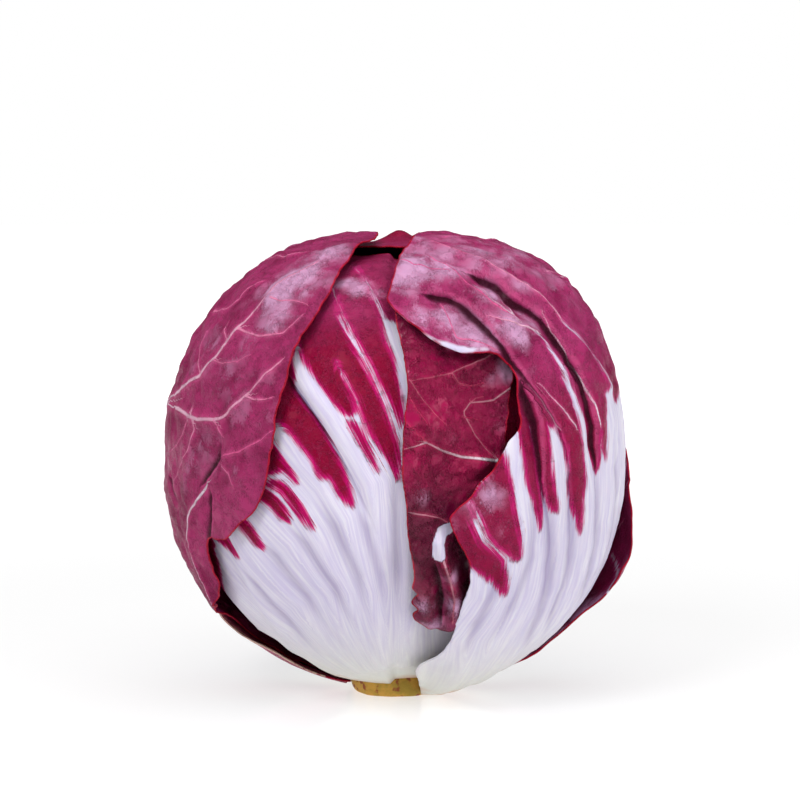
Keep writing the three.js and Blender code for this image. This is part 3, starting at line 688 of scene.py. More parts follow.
RIGHT_WHITE = [
    [
        (532, 334, 0.4), (543, 343, 1.4), (550, 353, 2.2), (558, 366, 3), (565, 379, 3.8), (571, 391, 4.6),
        (576, 405, 5.4), (581, 420, 5.6), (585, 440, 5.4), (587, 460, 5.2), (590, 480, 6.4),
    ],
    [
        (556, 322, 0.4), (565, 333, 1.1), (578, 345, 1.6), (590, 360, 2.2), (600, 375, 2.8),
        (607, 388, 3.6), (612, 400, 6),
    ],
    [
        (388, 305, 1.2), (400, 318, 1.8), (412, 330, 2.2), (425, 338, 2.8), (440, 345, 3.4),
        (455, 350, 3.8), (470, 352, 3.6), (485, 351, 2.4), (495, 350, 0.8),
    ],
    [(470, 503, 0.6), (478, 525, 1.2), (485, 537, 1.6), (497, 550, 2.2), (507, 559, 3.4)],
    [(577, 297, 0.8), (600, 330, 2.5), (612, 352, 4), (621, 380, 6), (626, 410, 9), (628, 440, 14)],
    on_head((104, -20, 40), (106, 8, 16), (106, 32, 5), (104, 52, 0.5)),
    on_head((121, -20, 36), (122, 8, 13), (120, 32, 4), (118, 50, 0.5)),
]

# Shallow furrows between the fine ribs of the white parts, sunk into the sheet and given painted shade, as
# (x, y, half width)
FRONT_FURROWS = [
    [(392, 470, 1), (396, 520, 3), (398, 570, 3), (398, 620, 1)],
    [(352, 500, 1), (366, 530, 3), (380, 575, 3), (388, 625, 1)],
    [(318, 498, 1), (336, 530, 3.4), (358, 575, 3), (376, 630, 1)],
    [(284, 520, 1), (306, 545, 3), (334, 585, 3.4), (362, 636, 1)],
    [(256, 536, 1), (276, 558, 3.4), (306, 596, 3), (344, 644, 1)],
    [(236, 562, 1), (256, 586, 3.4), (288, 620, 3), (326, 656, 1)],
]
RIGHT_FURROWS = [
    [(530, 470, 1), (534, 510, 2.6), (530, 560, 3), (510, 606, 3), (480, 650, 1)],
    [(546, 490, 2), (551, 530, 4), (548, 580, 4), (530, 630, 3), (505, 668, 1)],
    [(571, 460, 2), (573, 510, 4), (570, 560, 4), (552, 612, 3), (530, 650, 1)],
    [(596, 470, 2), (597, 520, 4), (590, 570, 4), (572, 612, 1)],
    [(612, 430, 1), (616, 480, 3.4), (612, 530, 3.4), (600, 575, 1)],
    [(500, 560, 1), (494, 590, 3), (476, 625, 3), (455, 660, 1)],
]
FURROW_DEPTH = 0.45

# The left leaf's slits and the hollows by the middle leaf's tongue, with painted shade like the valleys
# between pleats
LEFT_SHADED_SLITS = banded(
    [
        [(221, 436, 0.6), (220, 446, 1.2), (217, 458, 2), (211, 468, 3), (204, 480, 2.4), (200, 486, 1)],
        [
            (209, 486, 0.5), (209, 500, 3), (208, 520, 3.2), (207, 541, 3), (208, 557, 2.2),
            (211, 572, 1.6), (215, 584, 0.5),
        ],
        [(170, 474, 0.6), (172, 482, 2), (175, 492, 2.4), (178, 502, 0.8)],
    ],
    WRAPPER_INSET,
)
MIDDLE_SHADED_HOLLOWS = banded(
    [
        [(432, 558, 1), (437, 578, 3.4), (440, 598, 4), (438, 618, 1)],
        [(455, 528, 2), (461, 548, 5), (466, 570, 5), (468, 590, 2)],
    ],
    MIDDLE_INSET,
)

# Spots of dusty bloom and painted sheen, with painted highlights on the front and middle leaves, as (x, y,
# radius in mm, strength)
# Painted highlights on the front leaf's top
FRONT_PAINTED_HIGHLIGHTS = [(358, 288, 4.5, 1.0), (345, 283, 3.5, 0.9), (378, 292, 3.5, 0.8), (350, 303, 3, 0.5)]
# Painted highlights on the middle leaf, the first its brightest glint, and bloom on its tongue
MIDDLE_HIGHLIGHTS_AND_BLOOM = [
    (508, 371, 3.4, 1.1), (496, 378, 3.5, 0.6), (462, 432, 4.5, 0.2), (424, 490, 4, 0.4),
    (446, 343, 3, 0.4), (420, 600, 3.4, 0.9), (430, 616, 3, 0.8), (453, 598, 3.4, 0.9),
    (450, 572, 2.4, 0.6), (496, 420, 3, 0.3),
]
LEFT_BLOOM_AND_SHEEN = [
    (284, 290, 10, 0.9), (304, 274, 9, 0.9), (325, 258, 9, 0.7), (232, 368, 10, 0.35), (252, 405, 12, 0.3),
    (200, 450, 12, 0.35), (262, 330, 9, 0.5), (205, 350, 10, 0.45), (284, 312, 5, 0.8), (240, 470, 10, 0.2),
]
RIGHT_BLOOM_AND_SHEEN = [
    (430, 262, 13, 0.85), (405, 280, 6, 0.95), (470, 256, 13, 0.7), (478, 330, 7, 0.95), (446, 318, 5, 0.8),
    (426, 316, 5, 0.9), (505, 256, 12, 0.5), (512, 330, 6, 0.8), (540, 280, 12, 0.35), (488, 292, 5, 0.9),
    (530, 318, 4, 0.8), (560, 300, 9, 0.3), (470, 505, 5, 0.5), (455, 525, 4, 0.4), (535, 380, 6, 0.3),
    (575, 400, 6, 0.25), (518, 287, 3.5, 0.9), (503, 276, 3.5, 0.8), (490, 500, 5, 0.8), (505, 530, 4, 0.5),
]

# The outer leaves' white rims, as bands, and their bloom with painted light that brightens them in the shade
# where they show at the front
OUTER_LEFT_RIM = [on_head((-66, -70, 3), (-72, -60, 6), (-79, -51, 8), (-88, -44, 7), (-98, -36, 2))]
OUTER_RIGHT_RIM = [on_head((84, -31, 4), (90, -27, 3), (98, -24, 2))]
OUTER_LEFT_BLOOM_AND_LIGHT = on_head((-70, -66, 5, 0.6), (-78, -56, 5, 0.5), (-90, -46, 6, 0.5))
OUTER_RIGHT_BLOOM_AND_LIGHT = on_head((87, -38, 6, 1.1), (87, -48, 6, 1.1), (90, -58, 5, 0.8), (88, -24, 3, 0.5))

# Veins, as (width in mm, paleness where it starts, points)
LEFT_VEINS = [
    (0.75, 0.6, [
        (168, 403), (180, 391), (200, 375), (215, 357), (226, 341), (238, 327), (250, 315), (262, 301),
        (272, 291), (285, 282), (300, 274), (317, 264),
    ]),
    (0.45, 0.2, [(238, 328), (247, 332), (258, 336), (272, 336), (283, 333), (293, 325), (303, 316)]),
    (0.4, 0.2, [(272, 299), (282, 302), (295, 301), (307, 305)]),
    (0.7, 0.6, [
        (168, 404), (180, 409), (190, 416), (200, 420), (215, 420), (222, 419), (230, 413), (238, 405),
        (247, 397), (258, 386), (270, 373), (282, 361),
    ]),
    (0.4, 0.1, [(215, 420), (219, 427), (223, 436)]),
    (0.4, 0.2, [(248, 397), (255, 400), (265, 400), (273, 398)]),
    (0.5, 0.1, [(212, 309), (222, 307), (235, 297), (250, 285), (262, 280)]),
    (0.45, 0.2, [(265, 258), (285, 257), (306, 250)]),
    (0.4, 0.0, [(221, 456), (240, 452), (262, 440), (272, 432)]),
    (0.5, 0.9, SLIT_RIDGE),
    (0.35, 0.3, [(193, 410), (196, 430), (190, 450), (180, 470), (176, 480)]),
    (0.3, 0.1, [(222, 466), (230, 474), (236, 487)]),
    (0.3, 0.2, [(200, 375), (196, 360), (198, 345), (205, 330)]),
    (0.3, 0.2, [(226, 341), (222, 328), (226, 318)]),
    (0.3, 0.1, [(213, 360), (224, 364), (238, 362), (250, 356)]),
    (0.3, 0.1, [(190, 416), (186, 430), (178, 445), (170, 452)]),
]
RIGHT_VEINS = [
    (0.4, 0.6, [(535, 335), (525, 330), (512, 326), (500, 322), (488, 317)]),
    (0.4, 0.3, [
        (556, 322), (545, 310), (535, 300), (520, 288), (505, 280), (490, 272), (478, 264), (465, 258),
        (450, 253), (430, 246),
    ]),
    (0.35, 0.0, [
        (512, 319), (500, 314), (490, 305), (480, 297), (470, 289), (460, 281), (450, 273), (440, 267),
        (428, 260), (420, 256),
    ]),
    (0.3, 0.9, [(515, 321), (503, 312), (493, 303), (483, 295), (474, 287)]),
    (0.35, 0.0, [(402, 262), (412, 267), (430, 270), (446, 274)]),
    (0.35, 0.8, [(512, 318), (508, 303), (502, 290)]),
    (0.4, 0.1, [(497, 349), (485, 346), (470, 341), (456, 338), (450, 322), (442, 300)]),
    (0.35, 0.8, [(577, 298), (565, 290), (555, 283), (541, 278)]),
    (0.35, 0.3, [(558, 427), (548, 411), (540, 398), (530, 384)]),
    (0.35, 0.6, [(575, 428), (566, 415), (556, 405), (546, 393), (538, 384)]),
    (0.3, 0.9, [(598, 425), (594, 405), (587, 388), (578, 370), (566, 350), (552, 331), (540, 313)]),
    (0.3, 0.0, [(497, 244), (480, 243), (462, 241), (445, 240)]),
]
MIDDLE_VEINS = [
    (0.35, 0.2, MIDDLE_SEAM[::-1]),
    (0.5, 0.0, [(426, 443), (415, 433), (405, 423)]),
    (0.6, 1.0, [(497, 461), (480, 459), (460, 457), (440, 451), (426, 444)]),
    (0.35, 0.5, [(426, 443), (415, 447), (403, 450)]),
    (0.35, 0.4, [
        (512, 387), (505, 392), (495, 399), (485, 401), (470, 403), (463, 412), (464, 418), (475, 435),
        (490, 452), (497, 459),
    ]),
    (0.3, 0.0, [(464, 418), (478, 420)]),
    (0.3, 0.1, [(409, 385), (416, 395), (424, 404), (433, 414), (444, 425)]),
    (0.3, 0.0, [(409, 400), (416, 412), (427, 426)]),
    (0.35, 0.3, [(410, 511), (425, 513), (438, 516), (447, 521)]),
    (0.5, 0.4, [(439, 550), (443, 562), (448, 578), (451, 594), (449, 612)]),
    (0.25, 0.1, [(470, 403), (476, 398), (484, 396)]),
    (0.25, 0.1, [(450, 376), (458, 384), (470, 386), (484, 382)]),
]


# Pigment is the depth in mm inside a red patch, negative in the white parts, up to this
PIGMENT = 4.0


def limited(depth):
    return np.clip(depth, -PIGMENT, PIGMENT)


def front_paint(d, lon, lat):
    top = smooth(lat, 38, 48)
    # Painted shade: deep red, not white, where it lies under the middle and right leaves, so the gap between
    # them reads dark
    hidden = smooth(lon, 11, 14) * smooth(lat, -20, -12)
    red = np.maximum(patches(d, FRONT_PATCHES, FRONT_INSET), PIGMENT * (2 * np.maximum(top, hidden) - 1))
    return {
        "pigment": limited(np.minimum(red, white_bands(d, banded(FRONT_WHITE, FRONT_INSET)))),
        # Painted sheen: the front leaf's top turns dusty
        "tone": 0.5 * smooth(lat, 30, 46),
        "bloom_and_sheen": bloom_and_sheen_spots(d, FRONT_PAINTED_HIGHLIGHTS, FRONT_INSET),
        **valley_shade_near(d, FRONT_VALLEYS),
        "furrow": furrowed(d, banded(FRONT_FURROWS, FRONT_INSET)),
    }


def back_paint(d, lon, lat):
    clear = np.full(len(d), 9.0)
    for rib in BACK_RIBS:
        distance, _, along = to_line(d, rib)
        clear = np.minimum(clear, distance - 7 * (1 - smooth(along, 0.2, 0.8)) - 0.3)
    return {
        "pigment": limited(clear),
        "tone": 0.55 * smooth(lat, -10, 50) * (1 - bell(distance_to(d, TOP_LIP), 7)),
        "bloom_and_sheen": clouded(d, 3) * smooth(np.abs(lon), 60, 120),
        **veins_near(d, grown_veins(BACK_RIBS)),
    }


def middle_paint(d, lon, lat):
    curl = bell(to_line(d, CURL)[0], 2.1)
    return {
        "pigment": 5 - 9 * curl,
        "tone": 0.1 + 0.3 * smooth(-lat, 30, 38),
        "bloom_and_sheen": bloom_and_sheen_spots(d, MIDDLE_HIGHLIGHTS_AND_BLOOM, MIDDLE_INSET),
        **valley_shade_near(d, MIDDLE_SHADED_HOLLOWS),
        **veins_near(d, drawn_veins(MIDDLE_VEINS, MIDDLE_INSET)),
    }


def left_paint(d, lon, lat):
    return {
        "pigment": np.full(len(d), 5.0),
        "tone": np.full(len(d), 0.75),
        "bloom_and_sheen": np.maximum(bloom_and_sheen_spots(d, LEFT_BLOOM_AND_SHEEN, WRAPPER_INSET), clouded(d, 1) * smooth(-lon, 95, 112)),
        **valley_shade_near(d, LEFT_SHADED_SLITS),
        **veins_near(d, drawn_veins(LEFT_VEINS, WRAPPER_INSET) + grown_veins(LEFT_BACK_RIBS)),
    }


def right_paint(d, lon, lat):
    white = white_bands(d, banded(RIGHT_WHITE, WRAPPER_INSET))
    return {
        "pigment": limited(np.minimum(patches(d, RIGHT_PATCHES, WRAPPER_INSET), white)),
        "tone": 0.2 + 0.6 * smooth(lat, 8, 36),
        "bloom_and_sheen": np.maximum(bloom_and_sheen_spots(d, RIGHT_BLOOM_AND_SHEEN, WRAPPER_INSET), clouded(d, 2) * smooth(lon, 95, 112)),
        **valley_shade_near(d, RIGHT_VALLEYS),
        "furrow": furrowed(d, banded(RIGHT_FURROWS, WRAPPER_INSET)),
        **veins_near(d, drawn_veins(RIGHT_VEINS, WRAPPER_INSET) + grown_veins(RIGHT_BACK_RIBS)),
    }


def outer_paint(d, ribs, rim, bloom_and_sheen, clear):
    """Paint for the two outer leaves: white ribs, and a white rim where it shows."""
    on_sphere = d * HEAD_RADIUS
    clear = np.minimum(white_bands(d, banded(rim, OUTER_INSET)), clear)
    for rib in ribs:
        distance, _, along = to_line(d, rib)
        uneven = 1 + 0.5 * lumps(on_sphere, 16.0, 2)
        clear = np.minimum(clear, distance - 6.5 * uneven * (1 - smooth(along, 0.3, 0.95)) - 0.2)
    return {
        "pigment": limited(clear),
        "tone": np.full(len(d), 0.5),
        "bloom_and_sheen": np.maximum(bloom_and_sheen_spots(d, bloom_and_sheen, OUTER_INSET), clouded(d, 8)),
        **veins_near(d, grown_veins(ribs)),
    }


def above_base(d, lon, lat):
    """How far a point is above the outer leaves' white base, which only the back shows."""
    in_front = 1 - smooth(np.abs(lon), 100, 116)
    return lat + 36 + 11 * lumps(d * HEAD_RADIUS, 10.0, 5) + 60 * in_front


def outer_left_paint(d, lon, lat):
    clear = above_base(d, lon, lat)
    painted = outer_paint(d, OUTER_LEFT_RIBS, OUTER_LEFT_RIM, OUTER_LEFT_BLOOM_AND_LIGHT, clear)
    # Where it shows at the front, in the shade under the head: a brighter magenta as painted light, with a
    # tan stain
    seen_part = smooth(lon % 360 - 360, -110, -95)
    painted["pigment"] = np.minimum(painted["pigment"], PIGMENT - 3.9 * seen_part)
    return {**painted, "stain": 0.6 * seen_part}


def outer_right_paint(d, lon, lat):
    clear = above_base(d, lon, lat)
    return outer_paint(d, OUTER_RIGHT_RIBS, OUTER_RIGHT_RIM, OUTER_RIGHT_BLOOM_AND_LIGHT, clear)


# Each leaf's place on the head, its sheet's step in mm, its form, paint and slot, and its closed outline
LEAVES = {
    "leaf_front": {
        "centre": polar(-20, 0),
        "inset": FRONT_INSET,
        "step": 0.64,
        "form": front_form,
        "paint": front_paint,
        "fibre_ribs": FRONT_LINES,
        "slot": "ribbed_leaf",
        "outline": [
            *root(-58, 34, 2.5),
            *on_head(
                (36, -60), (38, -40), (42, -12), (44, 15), (42, 40), (34, 60), (14, 73), (-12, 76.5),
                (-36, 75), (-58, 64), (-72, 45), (-80, 20), (-80, -8), (-80, -30), (-79, -43),
            ),
            (247, 629), (280, 645), (308, 661), (334, 673),
        ],
    },
    "leaf_back": {
        "centre": polar(180, 20),
        "inset": BACK_INSET,
        "step": 0.95,
        "form": back_form,
        "paint": back_paint,
        "slot": "ribbed_leaf",
        "outline": [
            *root(128, 232, BACK_INSET + 1.2),
            *on_head(
                (246, -50), (252, -10), (256, 30), (268, 58), (300, 74), (335, 79.5), (0, 80.5), (22, 79.5),
                (56, 74), (90, 58), (102, 30), (108, -10), (114, -50),
            ),
        ],
    },
    "leaf_middle": {
        "centre": polar(24, -15),
        "inset": 3,
        "step": 0.38,
        "form": middle_form,
        "paint": middle_paint,
        "crumpling": 4.2,
        "slot": "dark_leaf",
        "outline": [
            (394, 308), (400, 342), (405, 365), (408, 395), (404, 425), (402, 465), (405, 500), (408, 535),
            (412, 570), (411, 585), (416, 591), (411, 600), (417, 606), (413, 614), (433, 626), (446, 629),
            (458, 622), *on_head((26, -45), (27, -60)), *root(30, 54, 2.6), *on_head((50, -55), (42, -25)),
            (522, 480), (507, 440), (512, 410), (514, 388), (517, 372), (512, 352), (488, 334), (460, 333),
            (430, 320), (406, 300),
        ],
    },
    "leaf_left": {
        "centre": polar(-95, 5),
        "inset": WRAPPER_INSET,
        "step": 0.64,
        "form": left_form,
        "paint": left_paint,
        "crumpling": 3.0,
        "slot": "dusty_leaf",
        "outline": [
            *on_head((-90, -60), (-88, -46)), (219, 592), (210, 568), (207, 542), (226, 538), (242, 523),
            (256, 508), (266, 484), (272, 452), (281, 406), (288, 374), (300, 343), (318, 312), (334, 284),
            (345, 264), (354, 250), (372, 239),
            *on_head((-40, 84), (-110, 80), (-138, 62), (-148, 35), (-150, 5), (-147, -25), (-142, -52)),
            *root(-136, -92, WRAPPER_INSET + 1.7),
        ],
    },
    "leaf_right": {
        "centre": polar(68, 0),
        "inset": WRAPPER_INSET,
        "step": 0.66,
        "form": right_form,
        "paint": right_paint,
        "crumpling": 2.8,
        "fibre_ribs": RIGHT_LINES[::-1],
        "slot": "ribbed_leaf",
        "outline": [
            (418, 682), (419, 672), (440, 655), (457, 623), (467, 596), (469, 565), (458, 541), (448, 518),
            (456, 509), (470, 498), (481, 482), (499, 462), (508, 443), (519, 428), (524, 414), (520, 386),
            (514, 364), (498, 353), (480, 355), (455, 352), (430, 341), (405, 320), (388, 303), (391, 284),
            (396, 265), (402, 252), (411, 243),
            *on_head((24, 79), (60, 82), (105, 76), (128, 58), (136, 30), (138, 0), (136, -30), (131, -55)),
            *root(124, 76, WRAPPER_INSET + 1.7),
            *root(66, 34, WRAPPER_INSET - 0.8),
        ],
    },
    "leaf_outer_left": {
        "centre": polar(-135, -25),
        "inset": OUTER_INSET,
        "step": 0.75,
        "form": outer_left_form,
        "paint": outer_left_paint,
        "slot": "ribbed_leaf",
        "outline": [
            *on_head(
                (-66, -70), (-72, -60), (-79, -51), (-88, -44), (-98, -36), (-105, -20), (-112, 0),
                (-124, 18), (-144, 30), (-168, 34), (-190, 26), (-200, 2), (-200, -30), (-194, -58),
            ),
            *root(-184, -68, 0.4),
        ],
    },
    "leaf_outer_right": {
        "centre": polar(142, -20),
        "inset": OUTER_INSET,
        "step": 0.75,
        "form": outer_right_form,
        "paint": outer_right_paint,
        "slot": "ribbed_leaf",
        "outline": [
            *on_head(
                (86, -66), (85, -50), (86, -38), (84, -30), (86, -20), (92, -8), (103, 6), (115, 26),
                (135, 38), (160, 44), (184, 38), (202, 18), (206, -10), (202, -42), (192, -66),
            ),
            *root(178, 92, 1.8),
        ],
    },
}


# Sheets: each leaf is an even lattice cut to its outline, laid on the head's form and given a thickness


class Chart:
    """A flat map of the directions round one direction, true to distance from it, in mm."""

    def __init__(self, centre):
        self.centre = centre
        self.east = unit(np.cross([0, 0, 1], centre))
        self.north = np.cross(centre, self.east)

    def flat(self, d):
        angle = np.arccos(np.clip(d @ self.centre, -1, 1))
        e, n = d @ self.east, d @ self.north
        scale = HEAD_RADIUS * angle / np.maximum(np.hypot(e, n), 1e-9)
        return np.stack([e * scale, n * scale], axis=1)

    def direction(self, p):
        length = np.maximum(np.hypot(p[:, 0], p[:, 1]), 1e-9)
        angle = length / HEAD_RADIUS
        across = p / length[:, None] * np.sin(angle)[:, None]
        d = self.centre * np.cos(angle)[:, None]
        return d + across[:, :1] * self.east + across[:, 1:] * self.north


def rounded_outline(points, spacing):
    """A closed centripetal curve through points, as points spacing apart."""
    curve = []
    count = len(points)
    for i in range(count):
        p = [points[(i + k - 1) % count] for k in range(4)]
        t = [0.0]
        for k in range(3):
            t.append(t[-1] + max(np.linalg.norm(p[k + 1] - p[k]), 1e-6) ** 0.5)
        for s in np.linspace(t[1], t[2], 16, endpoint=False):
            a = [
                ((t[k + 1] - s) * p[k] + (s - t[k]) * p[k + 1]) / (t[k + 1] - t[k])
                for k in range(3)
            ]
            b = [
                ((t[k + 2] - s) * a[k] + (s - t[k]) * a[k + 1]) / (t[k + 2] - t[k])
                for k in range(2)
            ]
            curve.append(((t[2] - s) * b[0] + (s - t[1]) * b[1]) / (t[2] - t[1]))
    curve = np.array(curve)
    closed = np.vstack([curve, curve[:1]])
    lengths = np.concatenate([[0], np.cumsum(np.linalg.norm(np.diff(closed, axis=0), axis=1))])
    at = np.arange(0, lengths[-1], spacing)
    return np.stack([np.interp(at, lengths, closed[:, k]) for k in range(2)], axis=1)


OUTLINE_SPACING = 0.3
MARGIN_WAVES = [(0.55, 7.0), (0.22, 2.6), (0.08, 1.1)]


def natural_margin(outline, chart, seed):
    """The outline with a leaf's small irregular waves, but smooth against the stem."""
    lat = angles_of(chart.direction(outline))[1]
    free = 1 - smooth(-lat, 60, 70)
    tangent = unit(np.roll(outline, -1, axis=0) - np.roll(outline, 1, axis=0))
    normal = np.stack([-tangent[:, 1], tangent[:, 0]], axis=1)
    spots = np.hstack([outline, np.zeros((len(outline), 1))])
    push = sum(height * lumps(spots, length, seed + k) for k, (height, length) in enumerate(MARGIN_WAVES))
    return outline + normal * (push * free)[:, None]


class Edge:
    """The signed distance in mm to a closed outline: positive inside."""

    def __init__(self, outline):
        self.outline = outline
        self.tangent = unit(np.roll(outline, -1, axis=0) - np.roll(outline, 1, axis=0))
        x, y = outline[:, 0], outline[:, 1]
        area = (x * np.roll(y, -1) - y * np.roll(x, -1)).sum()
        turn = 1 if area > 0 else -1
        self.inward = np.stack([-self.tangent[:, 1], self.tangent[:, 0]], axis=1) * turn
        self.tree = KDTree(len(outline))
        for i, p in enumerate(outline):
            self.tree.insert((p[0], p[1], 0), i)
        self.tree.balance()

    def measure(self, points):
        nearest = [self.tree.find((x, y, 0)) for x, y in points]
        index = np.array([n[1] for n in nearest])
        distance = np.array([n[2] for n in nearest])
        across = ((points - self.outline[index]) * self.inward[index]).sum(axis=1)
        signed = np.where(distance < 1.2, across, np.sign(across) * distance)
        return signed, self.inward[index]


def lattice(low, high, step):
    """Points of an even triangular lattice and its triangles."""
    rise = step * math.sqrt(3) / 2
    columns = int((high[0] - low[0]) / step) + 3
    rows = int((high[1] - low[1]) / rise) + 3
    i, j = np.meshgrid(np.arange(columns), np.arange(rows))
    x = low[0] - step + (i + 0.5 * (j % 2)) * step
    y = low[1] - rise + j * rise
    points = np.stack([x.ravel(), y.ravel()], axis=1)
    index = (j * columns + i)[:-1, :-1]
    a, b = index, index + 1
    c, d = index + columns, index + columns + 1
    even = (j[:-1, :-1] % 2) == 0
    first = np.where(even[..., None], np.stack([a, b, c], -1), np.stack([a, b, d], -1))
    second = np.where(even[..., None], np.stack([b, d, c], -1), np.stack([a, d, c], -1))
    return points, np.vstack([first.reshape(-1, 3), second.reshape(-1, 3)])


def trimmed_lattice(edge, step):
    """The lattice cut to an outline: points just outside it are moved on to it."""
    points, triangles = lattice(edge.outline.min(axis=0), edge.outline.max(axis=0), step)
    signed, inward = edge.measure(points)
    solid = signed > 0.35 * step
    kept = triangles[solid[triangles].any(axis=1)]
    snapped = ~solid
    points = points - np.where(snapped[:, None], inward * signed[:, None], 0)
    used = np.unique(kept)
    renumber = np.full(len(points), -1)
    renumber[used] = np.arange(len(used))
    return points[used], renumber[kept], np.where(snapped, 0, signed)[used]


def vertex_normals(positions, triangles):
    a, b, c = (positions[triangles[:, k]] for k in range(3))
    face = np.cross(b - a, c - a)
    normals = np.zeros_like(positions)
    for k in range(3):
        np.add.at(normals, triangles[:, k], face)
    return unit(normals + 1e-12)


def open_edges(triangles):
    """The edges that only one triangle has, in that triangle's own order."""
    edges = np.vstack([triangles[:, [0, 1]], triangles[:, [1, 2]], triangles[:, [2, 0]]])
    low, high = edges.min(axis=1), edges.max(axis=1)
    key = low.astype(np.int64) * (triangles.max() + 1) + high
    _, inverse, counts = np.unique(key, return_inverse=True, return_counts=True)
    return edges[counts[inverse.ravel()] == 1]


def new_mesh(name, positions, triangles, values, material):
    mesh = bpy.data.meshes.new(name + "_look")
    mesh.vertices.add(len(positions))
    mesh.vertices.foreach_set("co", (positions * MM).ravel())
    mesh.loops.add(len(triangles) * 3)
    mesh.loops.foreach_set("vertex_index", triangles.ravel().astype(np.int32))
    mesh.polygons.add(len(triangles))
    mesh.polygons.foreach_set("loop_start", np.arange(0, len(triangles) * 3, 3, dtype=np.int32))
    mesh.polygons.foreach_set("use_smooth", np.ones(len(triangles), dtype=bool))
    mesh.update()
    mesh.validate()
    for label, data in values.items():
        if data.ndim == 1:
            layer = mesh.attributes.new(label, "FLOAT", "POINT")
            layer.data.foreach_set("value", data.astype(np.float32))
        else:
            layer = mesh.attributes.new(label, "FLOAT_VECTOR", "POINT")
            layer.data.foreach_set("vector", data.astype(np.float32).ravel())
    piece = bpy.data.objects.new(name + "_look", mesh)
    bpy.context.scene.collection.objects.link(piece)
    mesh.materials.append(material)
    return piece


def place(piece, node, slot):
    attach(piece, "root")
    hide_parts(node)


RIB_GAP = 9.0


def fibre_space(d, ribs=None):
    """Where each point is across and along the leaf's fibres, which run up and follow the ribs."""
    lon, lat = angles_of(d)
    turn = np.radians(lon)
    if ribs is None:
        return np.stack([np.sin(turn) * 6, np.cos(turn) * 6, np.radians(lat)], axis=1)
    measured = [to_line(d, line) for line in ribs]
    distance = np.array([m[0] for m in measured])
    passed = np.array([m[1] < 0 for m in measured])
    final = len(ribs) - 1
    last = np.where(passed.any(axis=0), final - np.argmax(passed[::-1], axis=0), -1)
    here = np.arange(len(d))
    before = np.where(last >= 0, distance[np.maximum(last, 0), here], 0)
    after = np.where(last < final, distance[np.minimum(last + 1, final), here], 0)
    across = last + before / np.maximum(before + after, 1e-6)
    across = np.where(last < 0, -distance[0] / RIB_GAP, across)
    across = np.where(last == final, last + distance[-1] / RIB_GAP, across)
    return np.stack([across, across * 0, np.radians(lat)], axis=1)


# A leaf's relief, in mm, and how many fine ribs there are across and along the fibres
LIFT_REACH = 3.5
LIFT_HEIGHT = 0.5
LIFT_WAVE = 6.5
CRUMPLE_HEIGHT = 0.34
GRAIN_HEIGHT = 0.06
FINE_RIB_HEIGHT = 0.05
FINE_RIBS = (9, 9, 6)
VEIN_HEIGHT = 0.25

# What a point's paint says where its leaf doesn't set it
PLAIN_PAINT = {
    "vein_away": FAR, "vein_across": FAR, "pale": 0.0,
    "valley_away": FAR, "valley_across": FAR, "valley_deep": 0.0,
    "furrow": 0.0, "bloom_and_sheen": 0.0, "stain": 0.0,
}


def make_leaf(name, leaf, seed, material):
    chart = Chart(leaf["centre"])
    corners = chart.flat(directions_of(leaf["outline"], leaf["inset"]))
    edge = Edge(natural_margin(rounded_outline(corners, OUTLINE_SPACING), chart, seed))
    step = leaf["step"] * 1
    points, triangles, inside = trimmed_lattice(edge, step)
    d = chart.direction(points)
    lon, lat = angles_of(d)

    fibres = fibre_space(d, leaf.get("fibre_ribs"))
    plain = {label: np.full(len(d), start) for label, start in PLAIN_PAINT.items()}
    painted = {**plain, **leaf["paint"](d, lon, lat)}

    # Relief: the lifted margin, crumples where there is pigment, fine ribs, veins and furrows
    on_sphere = d * HEAD_RADIUS
    free = 1 - smooth(-lat, 55, 66)
    lifted = free * LIFT_HEIGHT * lumps(on_sphere, LIFT_WAVE, seed) * np.exp(-inside / LIFT_REACH)
    creases = np.abs(lumps(on_sphere, 7.5, seed + 9)) + 0.5 * np.abs(lumps(on_sphere, 3.4, seed + 5))
    crumpling = leaf.get("crumpling", 1) * (0.3 + 0.7 * smooth(painted["pigment"], -2, 3))
    relief = crumpling * (CRUMPLE_HEIGHT * creases + GRAIN_HEIGHT * lumps(on_sphere, 2.0, seed + 7))
    relief += FINE_RIB_HEIGHT * lumps(fibres * FINE_RIBS, 1.0, seed + 3)
    relief += VEIN_HEIGHT * bell(painted["vein_away"], 2.5) * smooth(painted["pigment"], -1, 1)
    relief -= FURROW_DEPTH * painted["furrow"]
    radius = head_radius(d) - leaf["form"](d, lon, lat) + lifted + relief
    outer = HEAD_CENTRE + d * radius[:, None]
    normals = vertex_normals(outer, triangles)
    thickness = MARGIN_THICKNESS + (LEAF_THICKNESS - MARGIN_THICKNESS) * smooth(inside, 0, 3)
    inner = outer - normals * thickness[:, None]

    count = len(points)
    rim = open_edges(triangles)
    m, n = rim[:, 0], rim[:, 1]
    faces = np.vstack(
        [
            triangles,
            triangles[:, ::-1] + count,
            np.stack([n, m, m + count], axis=1),
            np.stack([n, m + count, n + count], axis=1),
        ]
    )
    values = {
        **{label: np.tile(v, 2) for label, v in painted.items()},
        "inside": np.tile(inside, 2),
        "crumple": np.tile(creases, 2),
        "low": np.tile(smooth(-lat, 30, 75), 2),
        "fibre": np.tile(fibres, (2, 1)),
    }
    piece = new_mesh(name, np.vstack([outer, inner]), faces, values, material)
    place(piece, name, leaf["slot"])
    return piece


# Materials


